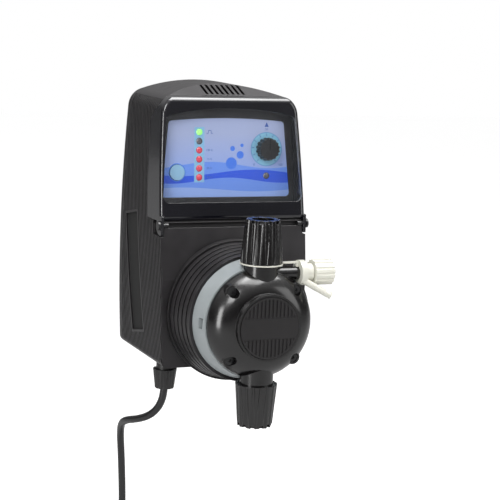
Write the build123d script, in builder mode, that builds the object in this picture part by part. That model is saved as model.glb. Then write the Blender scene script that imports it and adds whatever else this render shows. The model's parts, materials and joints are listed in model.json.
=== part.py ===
from build123d import *
from math import atan2, cos, degrees, pi, radians, sin, sqrt, tan
import os

# A wall-hung solenoid diaphragm metering pump, in millimetres.
# The origin is on the wall, in the middle of the bracket's screw pattern. The pump faces -Y, up is +Z.

# ---------------------------------------------------------------- bracket and casing
BRACKET_THICK = 3.5
BRACKET_WIDTH = 74
BRACKET_HEIGHT = 92
BRACKET_HOLE_RADIUS = 2.75
BRACKET_HOLE_SPACING_X = 50
BRACKET_HOLE_SPACING_Z = 70
HOOK_WIDTH = 12
HOOK_THICK = 3
HOOK_RISE = 8
HOOK_SPACING = 36
HOOK_HEIGHT = 22
HOOK_GAP = 0.4

CASE_BOTTOM = -129
CASE_CROWN = 87.5
SHOULDER_HEIGHT = 76
HALF_WIDTH_MIDDLE = 61
HALF_WIDTH_LOW = HALF_WIDTH_MIDDLE - 2.7
HALF_WIDTH_HIGH = HALF_WIDTH_MIDDLE - 4.4
MIDDLE_HEIGHT = -26
SHOULDER_RADIUS = 15
FOOT_RADIUS = 6
CASE_WALL = 3.4
REAR_DEPTH = 5.5
REAR_PLATE = 2.8
LOW_FRONT_Y = -103
LOW_FRONT_TOP = -60
LEDGE_Y = -97
LEDGE_HEIGHT = -16
TOP_SLOPE_FRONT = 79.6
TOP_SLOPE_BACK_Y = -51

# ---------------------------------------------------------------- control panel
PANEL_CENTRE_Y = -77
PANEL_CENTRE_Z = 30
PANEL_LEAN = 4.9
SHELF_HEIGHT = -5
LABEL_LOW_HALF = HALF_WIDTH_MIDDLE - 7
LABEL_HIGH_HALF = HALF_WIDTH_HIGH - 8
LABEL_LOW = -29.4
LABEL_HIGH = 29.8
LABEL_CROWN = 2.4
LABEL_CORNER = 3
LABEL_THICK = 0.5
PANEL_THICK = 2.4
PANEL_SEAT = 0.6
LAMP_COLUMN = -23
LAMP_TOP = 21.3
LAMP_PITCH = 7.05
LAMP_RADIUS = 2.5
LAMP_PROUD = 1.1
KNOB_ACROSS = 34
KNOB_UP = 8
KNOB_RADIUS = 9.2
KNOB_HEIGHT = 6.4
KNOB_FLUTES = 16
SMALL_LAMP_UP = -13
BUTTON_ACROSS = -41.5
BUTTON_UP = -10
BUTTON_RADIUS = 6
BUTTON_TRAVEL = 0.6
BOARD_DEPTH = 14
BOARD_THICK = 1.6
SHAFT_RADIUS = 3

# ---------------------------------------------------------------- hinged cover
COVER_WALL = 2.3
COVER_GAP = 0.35
COVER_EDGE_RADIUS = 3.4
COVER_LOW = -15.4
COVER_LOW_Y = -98
COVER_HIGH_Y = -83.3
COVER_HIGH = 70
FLANGE_BACK_LOW_Y = -67
FLANGE_BACK_HIGH_Y = -59
FLANGE_HIGH = 60
RETURN_BACK_Y = -72.5
RETURN_HEIGHT = 77
WINDOW_LOW = -1.3
WINDOW_HIGH = 64.5
WINDOW_CROWN = 6
WINDOW_CORNER = 5
WINDOW_RIM = 2.5
WINDOW_THICK = 2
HINGE_Y = -96.4
HINGE_Z = -18.6
EAR_RADIUS = 7.4
PIN_RADIUS = 2
PIN_HEAD_RADIUS = 3.6
PIN_HEAD_THICK = 1.6

# ---------------------------------------------------------------- drum, ring and head
HEAD_AXIS = -85
DRUM_BASE_RADIUS = 55.5
DRUM_FRONT_RADIUS = 49
DRUM_FRONT_Y = -136
DRUM_RIM = 3
DRUM_RIBS = 5
DRUM_WALL = 3
DRUM_FRONT_WALL = 5
RING_FRONT_Y = -151.3
RING_BACK_RADIUS = 47
RING_FRONT_RADIUS = 43
RING_BORE = 40
RING_WEB = 3
DIAPHRAGM_THICK = 2
HEAD_RADIUS = RING_FRONT_RADIUS - 1
HEAD_RIM_THICK = 3.2
HEAD_PLUG_GAP = 0.3
DOME_MIDDLE_RADIUS = 36.6
DOME_MIDDLE_Y = -163.4
COLLAR_RADIUS = 25.6
COLLAR_BACK_Y = -169
COLLAR_FRONT_Y = -173.4
DISC_RADIUS = 23.4
DISC_PROUD = 0.6
DISC_BAND = 7.4
VALVE_Y = -153
NECK_RADIUS = 12.7
NECK_END = 58
NUT_START = 46.4
NUT_END = 79
NUT_WIDE_RADIUS = 16
NUT_NARROW_RADIUS = 13.3
NUT_BORE = 8.4
NUT_FLUTES = 18
NUT_TEETH = 12
POCKET_RADIUS = 8
POCKET_START = 34
CARTRIDGE_START = 36
CAGE_RADIUS = 4.2
BALL_RADIUS = 3.2
SEAT_RADIUS = 2.4
BALL_LIFT = 1.5
PORT_RADIUS = 3
NIPPLE_RADIUS = 4.6
NIPPLE_BORE = 2.8
NIPPLE_END = 76.5
HEAD_SCREW_CIRCLE = 36.6
HEAD_SCREW_RADIUS = 2.1

# ---------------------------------------------------------------- vent valve
VENT_RISE = 37.6
VENT_Z = HEAD_AXIS + VENT_RISE
VENT_NOZZLE_RADIUS = 4.9
VENT_NOZZLE_END = 30
VENT_COLLAR_RADIUS = 9.6
VENT_COLLAR_END = 35
VENT_BARREL_RADIUS = 7
VENT_BARREL_END = 41
VENT_KNOB_RADIUS = 9.8
VENT_KNOB_START = 41.8
VENT_KNOB_END = 57.4
VENT_KNOB_FLUTES = 14
SPOUT_RADIUS = 2.6
SPOUT_BORE = 1.3
SPOUT_ROOT = (32.5, VALVE_Y - 5.2, VENT_Z - 5)
SPOUT_TIP = (53, VALVE_Y - 12.6, VENT_Z - 16.4)
NEEDLE_RADIUS = 1.5
STRAP_THICK = 0.9

# ---------------------------------------------------------------- solenoid
YOKE_RADIUS = 36
YOKE_BACK_Y = -60
YOKE_FRONT_Y = -131
YOKE_WALL = 4
BOBBIN_RADIUS = 30
BOBBIN_WALL = 1.6
ARMATURE_RADIUS = 14
ARMATURE_BACK_Y = -67.4
ARMATURE_FRONT_Y = -98
STROKE = 1.2
STROKE_SPARE = 0.4
POLE_BACK_Y = ARMATURE_FRONT_Y - STROKE - STROKE_SPARE
ROD_RADIUS = 3
ROD_BACK_Y = -58
ROD_FRONT_Y = -138
BUSH_RADIUS = 5
RUNNING_GAP = 0.05
CLEAR = 0.3

# ---------------------------------------------------------------- gland and cord
GLAND_X = -47
GLAND_Y = -81
GLAND_RADIUS = 6.2
GLAND_BASE_RADIUS = 6.9
GLAND_BASE_LENGTH = 5.4
GLAND_NUT_RADIUS = 9.4
GLAND_NUT_LENGTH = 15.5
GLAND_THREAD = 10
GLAND_LOCKNUT_RADIUS = 7.8
GLAND_LOCKNUT_THICK = 4
CORD_RADIUS = 3
COIL_RADIUS = 34
COIL_HALF_WIDTH = 9.3
COIL_HALF_DEPTH = 10.5
COIL_CORNER = 3
COIL_CENTRE_Z = -320
TIE_THICK = 1.2
TIE_WIDTH = 9
PLUG_DROP = 18
PLUG_RADIUS = 13
PLUG_LENGTH = 34
PLUG_RELIEF = 22
PLUG_PIN_RADIUS = 2.4
PLUG_PIN_LENGTH = 19
PLUG_PIN_SPACING = 19

os.makedirs("parts", exist_ok=True)

case_back = -BRACKET_THICK
case_seam = case_back - REAR_DEPTH
far_side = 2 * BRACKET_HEIGHT
panel_plane = Plane(
    origin=(0, PANEL_CENTRE_Y, PANEL_CENTRE_Z),
    x_dir=(1, 0, 0),
    z_dir=(0, -cos(radians(PANEL_LEAN)), sin(radians(PANEL_LEAN))),
)


def save(builder, name):
    """Label a finished piece and write its STEP file."""
    builder.part.label = name
    export_step(builder.part, f"parts/{name}.step")


def panel_y(height):
    """Depth of the panel's front face at one height."""
    return PANEL_CENTRE_Y + (height - PANEL_CENTRE_Z) * tan(radians(PANEL_LEAN))


def cover_y(height):
    """Depth of the cover's front face at one height."""
    share = (height - COVER_LOW) / (COVER_HIGH - COVER_LOW)
    return COVER_LOW_Y + share * (COVER_HIGH_Y - COVER_LOW_Y)


def case_outline(depth, inset=0.0):
    """Front view of the casing on the plane y = -depth, moved inwards by inset."""
    foot = (HALF_WIDTH_LOW - inset, CASE_BOTTOM + inset)
    middle = (HALF_WIDTH_MIDDLE - inset, MIDDLE_HEIGHT)
    shoulder = (HALF_WIDTH_HIGH - inset, SHOULDER_HEIGHT - inset)
    with BuildSketch(Plane.XZ.offset(depth)) as outline:
        with BuildLine():
            Line((-foot[0], foot[1]), foot)
            ThreePointArc(foot, middle, shoulder)
            ThreePointArc(shoulder, (0, CASE_CROWN - inset), (-shoulder[0], shoulder[1]))
            ThreePointArc((-shoulder[0], shoulder[1]), (-middle[0], middle[1]), (-foot[0], foot[1]))
        make_face()
        fillet(outline.vertices().group_by(Axis.Y)[-1], SHOULDER_RADIUS - inset)
        fillet(outline.vertices().group_by(Axis.Y)[0], FOOT_RADIUS - inset)
    return outline.sketch


def case_profile(back, inset=0.0):
    """Side view of the casing from the plane y = back forwards, its front and bottom moved in by inset."""
    cover_back = COVER_WALL + 2 * COVER_GAP
    seat_height = TOP_SLOPE_FRONT - COVER_WALL - COVER_GAP
    with BuildSketch(Plane.YZ) as profile:
        with BuildLine():
            Polyline(
                (back, CASE_BOTTOM + inset),
                (LOW_FRONT_Y + inset, CASE_BOTTOM + inset),
                (LOW_FRONT_Y + inset, LOW_FRONT_TOP),
                (LEDGE_Y + inset, LEDGE_HEIGHT - inset),
                (cover_y(LEDGE_HEIGHT) + cover_back + inset, LEDGE_HEIGHT - inset),
                (cover_y(SHELF_HEIGHT) + cover_back + inset, SHELF_HEIGHT - inset),
                (panel_y(SHELF_HEIGHT - inset) + inset, SHELF_HEIGHT - inset),
                (panel_y(seat_height - inset) + inset, seat_height - inset),
                (RETURN_BACK_Y + COVER_GAP + inset, seat_height - inset),
                (RETURN_BACK_Y + COVER_GAP + inset, TOP_SLOPE_FRONT - inset),
                (TOP_SLOPE_BACK_Y, CASE_CROWN - inset),
                (back, CASE_CROWN - inset),
                close=True,
            )
        make_face()
    return profile.sketch


def turned(points, place, direction, across=(1, 0, 0)):
    """Solid turned about a line through place, from (radius, distance along direction) points."""
    facing = Vector(*across).cross(Vector(*direction))
    with BuildPart() as body:
        with BuildSketch(Plane(origin=place, x_dir=across, z_dir=facing)):
            with BuildLine():
                Polyline(*points, close=True)
            make_face()
        revolve(axis=Axis(place, direction))
    return body.part


def label_outline(grow=0.0):
    """Face of the label in the panel's own plane: wider at the foot, arched at the top, larger by grow."""
    high_half = LABEL_HIGH_HALF + grow
    low_half = LABEL_LOW_HALF + grow
    high = LABEL_HIGH + grow
    with BuildSketch() as face:
        with BuildLine():
            Polyline(
                (high_half, high),
                (low_half, LABEL_LOW - grow),
                (-low_half, LABEL_LOW - grow),
                (-high_half, high),
            )
            ThreePointArc((-high_half, high), (0, high + LABEL_CROWN), (high_half, high))
        make_face()
        fillet(face.vertices(), LABEL_CORNER)
    return face.sketch


# ================================================================ casing
rib_lean = 11.8
rib_depth = 1.0
rib_width = 1.7
rib_pitch = 3.3
rib_low = CASE_BOTTOM + 4
rib_margin = 0.6
recess_depth = 1.7
recess_width = 27
recess_length = 94
recess_y = -39.5
recess_z = -63.5
recess_corner = 1.5
rib_places = [recess_y + i * rib_pitch / cos(radians(rib_lean)) for i in range(-20, 17)]
vent_count = 8
vent_pitch = 4.4
vent_width = 2.2
vent_length = 17
vent_edge = 2
vent_y = RETURN_BACK_Y + COVER_GAP + vent_edge + vent_length / 2
vent_places = [((i - (vent_count - 1) / 2) * vent_pitch, vent_y, CASE_CROWN) for i in range(vent_count)]
pillar_radius = 4.2
pillar_length = 30
pillar_bite = 0.8
pillar_inset = CASE_WALL + pillar_radius - pillar_bite
foot_pillar = (HALF_WIDTH_LOW - pillar_inset, CASE_BOTTOM + pillar_inset)
middle_pillar = (HALF_WIDTH_MIDDLE - pillar_inset, MIDDLE_HEIGHT)
high_pillar = (HALF_WIDTH_HIGH - pillar_inset + 1.5 * pillar_bite, SHOULDER_HEIGHT - 2 * pillar_radius)
pillar_places = [(side * x, z) for side in (-1, 1) for x, z in (foot_pillar, middle_pillar, high_pillar)]
case_screw_radius = 1.9
case_screw_head = 3.4
case_screw_head_thick = 2
case_screw_length = 18
drum_hole = YOKE_RADIUS + 2.5

with BuildPart() as cover_seat:
    with BuildSketch(Plane.YZ) as seat_side:
        with BuildLine():
            Polyline(
                (FLANGE_BACK_LOW_Y + COVER_GAP, COVER_LOW - COVER_GAP),
                (HINGE_Y + 2 * EAR_RADIUS, COVER_LOW - COVER_GAP),
                (HINGE_Y + 2 * EAR_RADIUS, HINGE_Z - EAR_RADIUS - 1),
                (LOW_FRONT_Y - 2 * EAR_RADIUS, HINGE_Z - EAR_RADIUS - 1),
                (LOW_FRONT_Y - 2 * EAR_RADIUS, CASE_CROWN + COVER_WALL),
                (RETURN_BACK_Y + COVER_GAP, CASE_CROWN + COVER_WALL),
                (RETURN_BACK_Y + COVER_GAP, RETURN_HEIGHT - 2 * COVER_WALL),
                (FLANGE_BACK_HIGH_Y + COVER_GAP, FLANGE_HIGH),
                close=True,
            )
        make_face()
    extrude(seat_side.sketch, amount=far_side, both=True)
    extrude(case_outline(0, COVER_WALL + COVER_GAP), amount=far_side, mode=Mode.SUBTRACT)

with BuildPart() as side_ribs:
    with Locations(*[Location((0, y, recess_z), (-rib_lean, 0, 0)) for y in rib_places]):
        Box(far_side, rib_width, 2 * far_side)
    with BuildSketch(Plane.YZ) as rib_side:
        with Locations((case_seam - rib_margin, rib_low)):
            Rectangle(-LOW_FRONT_Y, SHOULDER_HEIGHT - rib_low, align=(Align.MAX, Align.MIN))
    extrude(rib_side.sketch, amount=far_side, both=True, mode=Mode.INTERSECT)
    with BuildSketch(Plane.YZ) as recess_border:
        with Locations(Location((recess_y, recess_z), -rib_lean)):
            Rectangle(recess_width + 2 * rib_width, recess_length + 2 * rib_width)
    extrude(recess_border.sketch, amount=far_side, both=True, mode=Mode.SUBTRACT)
    extrude(case_outline(0, -CASE_WALL), amount=far_side, mode=Mode.INTERSECT)
    extrude(case_outline(0, rib_depth), amount=far_side, mode=Mode.SUBTRACT)

with BuildPart() as side_recess:
    with BuildSketch(Plane.YZ) as recess_face:
        with Locations(Location((recess_y, recess_z), -rib_lean)):
            RectangleRounded(recess_width, recess_length, recess_corner)
    extrude(recess_face.sketch, amount=far_side, both=True)
    extrude(case_outline(0, recess_depth), amount=far_side, mode=Mode.SUBTRACT)

with BuildPart() as cavity:
    extrude(case_outline(case_seam, CASE_WALL + COVER_WALL), amount=far_side)
    extrude(case_outline(-case_seam, CASE_WALL), amount=-FLANGE_BACK_HIGH_Y + case_seam - CASE_WALL)
    extrude(case_profile(-case_seam, CASE_WALL), amount=far_side, both=True, mode=Mode.INTERSECT)

with BuildPart() as main_case:
    extrude(case_outline(-case_seam), amount=case_seam - LOW_FRONT_Y)
    extrude(case_profile(case_seam), amount=far_side, both=True, mode=Mode.INTERSECT)
    add(cover_seat.part, mode=Mode.SUBTRACT)
    add(cavity.part, mode=Mode.SUBTRACT)
    add(side_ribs.part, mode=Mode.SUBTRACT)
    add(side_recess.part, mode=Mode.SUBTRACT)
    with BuildSketch(Plane.XZ.offset(-LEDGE_Y - CASE_WALL)):
        with Locations((0, HEAD_AXIS)):
            Circle(drum_hole)
    extrude(amount=3 * CASE_WALL, mode=Mode.SUBTRACT)
    with Locations(*vent_places):
        Box(vent_width, vent_length, 6 * CASE_WALL, mode=Mode.SUBTRACT)
    with BuildSketch(panel_plane):
        add(label_outline(CLEAR))
    extrude(amount=2 * CASE_WALL, both=True, mode=Mode.SUBTRACT)
    with BuildSketch(Plane.XZ.offset(-case_seam)):
        with Locations(*pillar_places):
            Circle(pillar_radius)
    extrude(amount=pillar_length)
    with BuildSketch(Plane.XZ.offset(-case_seam)):
        with Locations(*pillar_places):
            Circle(case_screw_radius)
    extrude(amount=case_screw_length, mode=Mode.SUBTRACT)
    with Locations((GLAND_X, GLAND_Y, CASE_BOTTOM)):
        Cylinder(GLAND_RADIUS + CLEAR / 2, 4 * CASE_WALL, mode=Mode.SUBTRACT)
    with Locations((GLAND_X, GLAND_Y, CASE_BOTTOM + CASE_WALL)):
        Cylinder(
            GLAND_LOCKNUT_RADIUS + CLEAR, GLAND_THREAD, align=(Align.CENTER, Align.CENTER, Align.MIN),
            mode=Mode.SUBTRACT,
        )
    with Locations((0, HINGE_Y, HINGE_Z)):
        Cylinder(PIN_RADIUS, 4 * HALF_WIDTH_MIDDLE, rotation=(0, 90, 0), mode=Mode.SUBTRACT)
save(main_case, "main_case")


# ================================================================ rear cover, its screws and the wall bracket
hook_places = [(side * HOOK_SPACING / 2, HOOK_HEIGHT) for side in (-1, 1)]
hook_lip_y = case_back - REAR_PLATE - HOOK_GAP
standoff_length = 20
wall_screw_cup = 5.6
wall_screw_cup_depth = 4.6
standoff_radius = 3.5
board_back_y = case_back - REAR_PLATE - standoff_length
board_centre_z = 15
board_width = 84
board_height = 78
board_hole_radius = 1.5
board_places = [(side * 36, board_centre_z + up) for side in (-1, 1) for up in (-33, 33)]

with BuildPart() as rear_cover:
    extrude(case_outline(-case_back), amount=REAR_DEPTH)
    extrude(case_outline(-case_back + REAR_PLATE, CASE_WALL), amount=REAR_DEPTH, mode=Mode.SUBTRACT)
    with BuildSketch(Plane.XZ.offset(-case_back)):
        with Locations(*pillar_places):
            Circle(pillar_radius)
    extrude(amount=REAR_DEPTH)
    with BuildSketch(Plane.XZ.offset(-case_back)):
        with Locations(*pillar_places):
            Circle(case_screw_radius + CLEAR / 2)
    extrude(amount=REAR_DEPTH, mode=Mode.SUBTRACT)
    with BuildSketch(Plane.XZ.offset(-case_back)):
        with Locations(*pillar_places):
            Circle(case_screw_head + CLEAR)
    extrude(amount=case_screw_head_thick + CLEAR, mode=Mode.SUBTRACT)
    with BuildSketch(Plane.XZ.offset(-case_back)):
        with Locations(*hook_places):
            Rectangle(HOOK_WIDTH + 4 * HOOK_GAP, HOOK_THICK + HOOK_RISE + 2 * HOOK_GAP)
    extrude(amount=REAR_DEPTH, mode=Mode.SUBTRACT)
    with BuildSketch(Plane.XZ.offset(-case_back)):
        with GridLocations(BRACKET_HOLE_SPACING_X, BRACKET_HOLE_SPACING_Z, 2, 2):
            Circle(wall_screw_cup + REAR_PLATE / 2)
    extrude(amount=wall_screw_cup_depth + REAR_PLATE / 2)
    with BuildSketch(Plane.XZ.offset(-case_back)):
        with GridLocations(BRACKET_HOLE_SPACING_X, BRACKET_HOLE_SPACING_Z, 2, 2):
            Circle(wall_screw_cup)
    extrude(amount=wall_screw_cup_depth, mode=Mode.SUBTRACT)
    with BuildSketch(Plane.XZ.offset(-case_back + REAR_PLATE)):
        with Locations(*board_places):
            Circle(standoff_radius)
    extrude(amount=standoff_length)
    with BuildSketch(Plane.XZ.offset(-case_back + REAR_PLATE + standoff_length - 8)):
        with Locations(*board_places):
            Circle(board_hole_radius)
    extrude(amount=8, mode=Mode.SUBTRACT)
save(rear_cover, "rear_cover")

with BuildPart() as case_screws:
    with BuildSketch(Plane.XZ.offset(-case_back + CLEAR)):
        with Locations(*pillar_places):
            Circle(case_screw_head)
    extrude(amount=case_screw_head_thick)
    with BuildSketch(Plane.XZ.offset(-case_back + CLEAR)):
        with Locations(*pillar_places):
            Circle(case_screw_radius)
    extrude(amount=REAR_DEPTH + case_screw_length - 2 * CLEAR)
    with BuildSketch(Plane.XZ.offset(-case_back + CLEAR)):
        with Locations(*pillar_places):
            Rectangle(2 * case_screw_head - 2, 0.9)
            Rectangle(0.9, 2 * case_screw_head - 2)
    extrude(amount=case_screw_head_thick / 2, mode=Mode.SUBTRACT)
save(case_screws, "case_screws")

with BuildPart() as wall_bracket:
    with BuildSketch(Plane.XZ):
        RectangleRounded(BRACKET_WIDTH, BRACKET_HEIGHT, 4)
        with GridLocations(BRACKET_HOLE_SPACING_X, BRACKET_HOLE_SPACING_Z, 2, 2):
            Circle(BRACKET_HOLE_RADIUS, mode=Mode.SUBTRACT)
    extrude(amount=BRACKET_THICK)
    with Locations(*[(x, case_back, z - HOOK_RISE / 2) for x, z in hook_places]):
        Box(
            HOOK_WIDTH, REAR_PLATE + HOOK_GAP + HOOK_THICK, HOOK_THICK,
            align=(Align.CENTER, Align.MAX, Align.CENTER),
        )
    with Locations(*[(x, hook_lip_y, z - (HOOK_RISE + HOOK_THICK) / 2) for x, z in hook_places]):
        Box(HOOK_WIDTH, HOOK_THICK, HOOK_THICK + HOOK_RISE, align=(Align.CENTER, Align.MAX, Align.MIN))
save(wall_bracket, "wall_bracket")

# ================================================================ control panel behind the label
panel_back = -CASE_WALL * cos(radians(PANEL_LEAN)) - 0.05
flange_back = panel_back - PANEL_THICK
board_front = -BOARD_DEPTH
lamp_ups = [LAMP_TOP - i * LAMP_PITCH for i in range(6)]
green_lamps = [(LAMP_COLUMN, lamp_ups[0])]
dark_lamps = [(LAMP_COLUMN, lamp_ups[1]), (KNOB_ACROSS, SMALL_LAMP_UP)]
red_lamps = [(LAMP_COLUMN, up) for up in lamp_ups[2:]]
panel_screw_inset = 6
panel_screw_across = LABEL_LOW_HALF - panel_screw_inset
panel_screw_heights = (LABEL_LOW + panel_screw_inset, LABEL_HIGH - panel_screw_inset)
panel_screw_places = [(side * panel_screw_across, up) for side in (-1, 1) for up in panel_screw_heights]
panel_screw_radius = 1.5
post_radius = 3.2


def panel_cuts():
    """Holes for the lamps, the shaft and the button, in the panel's plane."""
    with BuildSketch() as holes:
        with Locations(*green_lamps, *dark_lamps, *red_lamps):
            Circle(LAMP_RADIUS + CLEAR / 2)
        with Locations((KNOB_ACROSS, KNOB_UP)):
            Circle(SHAFT_RADIUS + CLEAR)
        with Locations((BUTTON_ACROSS, BUTTON_UP)):
            Circle(BUTTON_RADIUS + CLEAR)
    return holes.sketch


with BuildPart() as control_panel:
    with BuildSketch(panel_plane.offset(panel_back)):
        add(label_outline())
    extrude(amount=-LABEL_THICK - panel_back)
    with BuildSketch(panel_plane.offset(flange_back)):
        add(label_outline(PANEL_SEAT))
    extrude(amount=PANEL_THICK)
    with BuildSketch(panel_plane.offset(board_front)):
        with Locations(*panel_screw_places):
            Circle(post_radius)
    extrude(amount=flange_back - board_front)
    with BuildSketch(panel_plane.offset(board_front)):
        with Locations(*panel_screw_places):
            Circle(panel_screw_radius)
    extrude(amount=flange_back - board_front, mode=Mode.SUBTRACT)
    with BuildSketch(panel_plane.offset(flange_back)):
        add(panel_cuts())
    extrude(amount=-flange_back, mode=Mode.SUBTRACT)
save(control_panel, "control_panel")

with BuildPart() as control_label:
    with BuildSketch(panel_plane.offset(-LABEL_THICK)):
        add(label_outline())
        add(panel_cuts(), mode=Mode.SUBTRACT)
    extrude(amount=LABEL_THICK)
save(control_label, "control_label")

with BuildPart() as lamp_board:
    with BuildSketch(panel_plane.offset(board_front - BOARD_THICK)):
        Rectangle(2 * LABEL_HIGH_HALF + 4, LABEL_HIGH - LABEL_LOW - 2)
        with Locations(*panel_screw_places):
            Circle(panel_screw_radius + CLEAR / 2, mode=Mode.SUBTRACT)
    extrude(amount=BOARD_THICK)
save(lamp_board, "lamp_board")

with BuildPart() as panel_screws:
    with BuildSketch(panel_plane.offset(board_front - BOARD_THICK)):
        with Locations(*panel_screw_places):
            Circle(2 * panel_screw_radius)
    extrude(amount=-1.6)
    with BuildSketch(panel_plane.offset(board_front - BOARD_THICK)):
        with Locations(*panel_screw_places):
            Circle(panel_screw_radius)
    extrude(amount=BOARD_THICK + (flange_back - board_front) - CLEAR)
save(panel_screws, "panel_screws")


def lamps(places):
    """Round lamps standing on the lamp board with domed ends just proud of the label."""
    leg_direction = panel_plane.x_dir.cross(panel_plane.z_dir)
    with BuildPart() as group:
        for across, up in places:
            foot = panel_plane.from_local_coords((across, up, board_front))
            with BuildSketch(Plane(origin=foot, x_dir=(1, 0, 0), z_dir=leg_direction)):
                with BuildLine():
                    height = LAMP_PROUD - board_front
                    Polyline((LAMP_RADIUS, height - 1), (LAMP_RADIUS, 0), (0, 0), (0, height))
                    ThreePointArc((0, height), (LAMP_RADIUS * 0.7, height - 0.4), (LAMP_RADIUS, height - 1))
                make_face()
            revolve(axis=Axis(foot, panel_plane.z_dir))
    return group.part


with BuildPart() as green_lamp:
    add(lamps(green_lamps))
save(green_lamp, "green_lamp")

with BuildPart() as dark_lamp_pair:
    add(lamps(dark_lamps))
save(dark_lamp_pair, "dark_lamps")

with BuildPart() as red_lamp_group:
    add(lamps(red_lamps))
save(red_lamp_group, "red_lamps")

pot_radius = 8
pot_height = 5
shaft_end = LABEL_THICK + KNOB_HEIGHT - 1.5
shaft_foot = board_front + 1
with BuildPart() as potentiometer:
    with BuildSketch(panel_plane.offset(board_front)):
        with Locations((KNOB_ACROSS, KNOB_UP)):
            Circle(pot_radius)
    extrude(amount=pot_height)
    with BuildSketch(panel_plane.offset(shaft_foot)):
        with Locations((KNOB_ACROSS, KNOB_UP)):
            Circle(SHAFT_RADIUS + RUNNING_GAP)
    extrude(amount=pot_height, mode=Mode.SUBTRACT)
save(potentiometer, "potentiometer")

with BuildPart() as knob_shaft:
    with BuildSketch(panel_plane.offset(shaft_foot + CLEAR)):
        with Locations((KNOB_ACROSS, KNOB_UP)):
            Circle(SHAFT_RADIUS)
    extrude(amount=shaft_end - shaft_foot - CLEAR)
save(knob_shaft, "knob_shaft")

knob_foot = 0.5
knob_flute_radius = 1.1
knob_flute_edge = 0.3
knob_taper = 4
with BuildPart() as adjusting_knob:
    with BuildSketch(panel_plane.offset(knob_foot)):
        with Locations((KNOB_ACROSS, KNOB_UP)):
            Circle(KNOB_RADIUS)
            with PolarLocations(KNOB_RADIUS + knob_flute_edge, KNOB_FLUTES):
                Circle(knob_flute_radius, mode=Mode.SUBTRACT)
    extrude(amount=KNOB_HEIGHT, taper=knob_taper)
    with BuildSketch(panel_plane.offset(knob_foot)):
        with Locations((KNOB_ACROSS, KNOB_UP)):
            Circle(SHAFT_RADIUS)
    extrude(amount=shaft_end - knob_foot, mode=Mode.SUBTRACT)
    with BuildSketch(panel_plane.offset(knob_foot + KNOB_HEIGHT - 0.6)):
        with Locations((KNOB_ACROSS, KNOB_UP + KNOB_RADIUS / 2)):
            Rectangle(1.2, KNOB_RADIUS)
    extrude(amount=1, mode=Mode.SUBTRACT)
save(adjusting_knob, "adjusting_knob")

switch_top = board_front + 3.4
button_foot = switch_top + BUTTON_TRAVEL + 0.15
button_lip_front = flange_back - 0.35
with BuildPart() as start_button:
    with BuildSketch(panel_plane.offset(button_foot)):
        with Locations((BUTTON_ACROSS, BUTTON_UP)):
            Circle(BUTTON_RADIUS)
    extrude(amount=BUTTON_TRAVEL + 0.5 - button_foot)
    with BuildSketch(panel_plane.offset(button_lip_front - 1.2)):
        with Locations((BUTTON_ACROSS, BUTTON_UP)):
            Circle(BUTTON_RADIUS + 1.4)
    extrude(amount=1.2)
save(start_button, "start_button")

with BuildPart() as start_switch:
    with BuildSketch(panel_plane.offset(board_front)):
        with Locations((BUTTON_ACROSS, BUTTON_UP)):
            Rectangle(6, 6)
    extrude(amount=switch_top - board_front)
save(start_switch, "start_switch")

# ================================================================ hinged cover
front_lean = degrees(atan2(COVER_HIGH_Y - COVER_LOW_Y, COVER_HIGH - COVER_LOW))
cover_plane = Plane(
    origin=(0, cover_y(0), 0), x_dir=(1, 0, 0), z_dir=(0, -cos(radians(front_lean)), sin(radians(front_lean)))
)
return_inner = TOP_SLOPE_FRONT - COVER_WALL
top_edge_radius = 5

with BuildPart() as cover_body:
    with BuildSketch(Plane.YZ) as cover_side:
        with BuildLine():
            Polyline(
                (FLANGE_BACK_LOW_Y, COVER_LOW),
                (COVER_LOW_Y, COVER_LOW),
                (cover_y(TOP_SLOPE_FRONT - 1), TOP_SLOPE_FRONT - 1),
                (RETURN_BACK_Y, TOP_SLOPE_FRONT),
                (RETURN_BACK_Y, RETURN_HEIGHT - 2 * COVER_WALL),
                (FLANGE_BACK_HIGH_Y, FLANGE_HIGH),
                close=True,
            )
        make_face()
        fillet(cover_side.vertices().sort_by(Axis.Y)[-2], top_edge_radius)
    extrude(cover_side.sketch, amount=far_side, both=True)
    extrude(case_outline(0), amount=far_side, mode=Mode.INTERSECT)
    front_face = cover_body.faces().sort_by(Axis.Y)[0]
    fillet(front_face.edges(), COVER_EDGE_RADIUS)

with BuildPart() as cover_hollow:
    with BuildSketch(Plane.YZ) as hollow_side:
        with BuildLine():
            Polyline(
                (0, COVER_LOW - COVER_WALL),
                (cover_y(COVER_LOW - COVER_WALL) + COVER_WALL, COVER_LOW - COVER_WALL),
                (cover_y(return_inner) + COVER_WALL, return_inner),
                (0, return_inner),
                close=True,
            )
        make_face()
        fillet(hollow_side.vertices().group_by(Axis.Y)[-1].sort_by(Axis.X)[0], top_edge_radius - COVER_WALL)
    extrude(hollow_side.sketch, amount=far_side, both=True)
    extrude(case_outline(0, COVER_WALL), amount=far_side, mode=Mode.INTERSECT)


def window_outline(shrink=0.0):
    """Front view of the cover's window in the cover's own plane, moved inwards by shrink."""
    stretch = 1 / cos(radians(front_lean))
    low = WINDOW_LOW * stretch + shrink
    high = WINDOW_HIGH * stretch - shrink
    low_half = HALF_WIDTH_MIDDLE - WINDOW_RIM - shrink
    high_half = HALF_WIDTH_HIGH - WINDOW_RIM - shrink
    with BuildSketch() as face:
        with BuildLine():
            Polyline((high_half, high), (low_half, low), (-low_half, low), (-high_half, high))
            ThreePointArc((-high_half, high), (0, high + WINDOW_CROWN), (high_half, high))
        make_face()
        fillet(face.vertices(), WINDOW_CORNER)
    return face.sketch


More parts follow.
